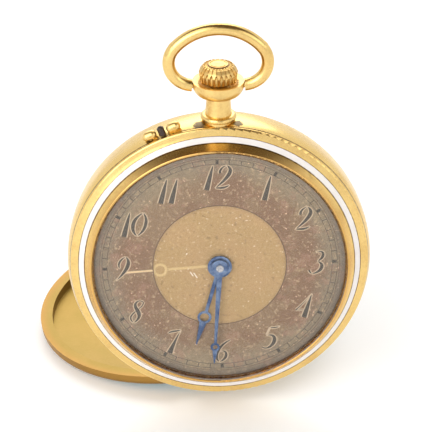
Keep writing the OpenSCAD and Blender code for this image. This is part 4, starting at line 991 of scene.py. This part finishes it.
# The photograph's viewpoint, found from the circles of the case: angles in degrees, distance in mm, and
# the pixel of the photograph on which the middle of the dial lies
CAMERA_TURN = -1.7
CAMERA_RISE = 27.7
CAMERA_ROLL = -0.2
CAMERA_AWAY = 350.0
PIXELS_PER_MM = 10.13
PHOTO_WIDTH = 432
DIAL_MIDDLE_PIXEL = (219.7, 265.3)


def stand_camera():
    """Stands the camera at the photograph's angle, with the dial's middle on its pixel."""
    turn, rise, roll = (math.radians(a) for a in (CAMERA_TURN, CAMERA_RISE, CAMERA_ROLL))
    back = Vector((math.sin(turn) * math.cos(rise), -math.cos(turn) * math.cos(rise), math.sin(rise)))
    level = Vector((math.cos(turn), math.sin(turn), 0))
    upright = back.cross(level)
    right = math.cos(roll) * level + math.sin(roll) * upright
    up = math.cos(roll) * upright - math.sin(roll) * level
    half = PHOTO_WIDTH / 2
    aim_x = (half - DIAL_MIDDLE_PIXEL[0]) / PIXELS_PER_MM
    aim_y = (DIAL_MIDDLE_PIXEL[1] - half) / PIXELS_PER_MM
    aim = CENTRE + (right * aim_x + up * aim_y) * MM
    place = CENTRE + back * CAMERA_AWAY * MM
    view = (place - aim).normalized()
    side = up.cross(view).normalized()
    camera = bpy.data.cameras.new("camera")
    camera.lens = PIXELS_PER_MM * CAMERA_AWAY / PHOTO_WIDTH * camera.sensor_width
    camera.clip_start = 0.01
    stand = bpy.data.objects.new("camera", camera)
    bpy.context.scene.collection.objects.link(stand)
    aimed = Matrix((side, view.cross(side), view)).transposed().to_4x4()
    stand.matrix_world = Matrix.Translation(place) @ aimed
    bpy.context.scene.camera = stand


class WATCH_PT_panel(bpy.types.Panel):
    """Lists the steps that dress the watch"""

    bl_idname = "WATCH_PT_panel"
    bl_label = "Fob watch"
    bl_space_type = "VIEW_3D"
    bl_region_type = "UI"
    bl_category = "Fob watch"

    def draw(self, context):
        column = self.layout.column()
        for group in ("watch_finish", "watch_dial"):
            settings = getattr(context.scene, group)
            for name in settings.__annotations__:
                column.prop(settings, name)
        for step in STEPS:
            column.operator(step.bl_idname)


STEPS = (
    WATCH_OT_stage,
    WATCH_OT_case,
    WATCH_OT_covers,
    WATCH_OT_crown_and_bow,
    WATCH_OT_dial,
    WATCH_OT_hands,
    WATCH_OT_movement,
)
CLASSES = (WatchFinish, WatchDial, *STEPS, WATCH_PT_panel)


def register():
    for each in CLASSES:
        bpy.utils.register_class(each)
    bpy.types.Scene.watch_finish = PointerProperty(type=WatchFinish)
    bpy.types.Scene.watch_dial = PointerProperty(type=WatchDial)


def unregister():
    del bpy.types.Scene.watch_dial
    del bpy.types.Scene.watch_finish
    for each in reversed(CLASSES):
        bpy.utils.unregister_class(each)


def main():
    register()
    for step in STEPS:
        group, name = step.bl_idname.split(".")
        getattr(getattr(bpy.ops, group), name)()
    bpy.context.view_layer.update()


if __name__ == "__main__":
    main()
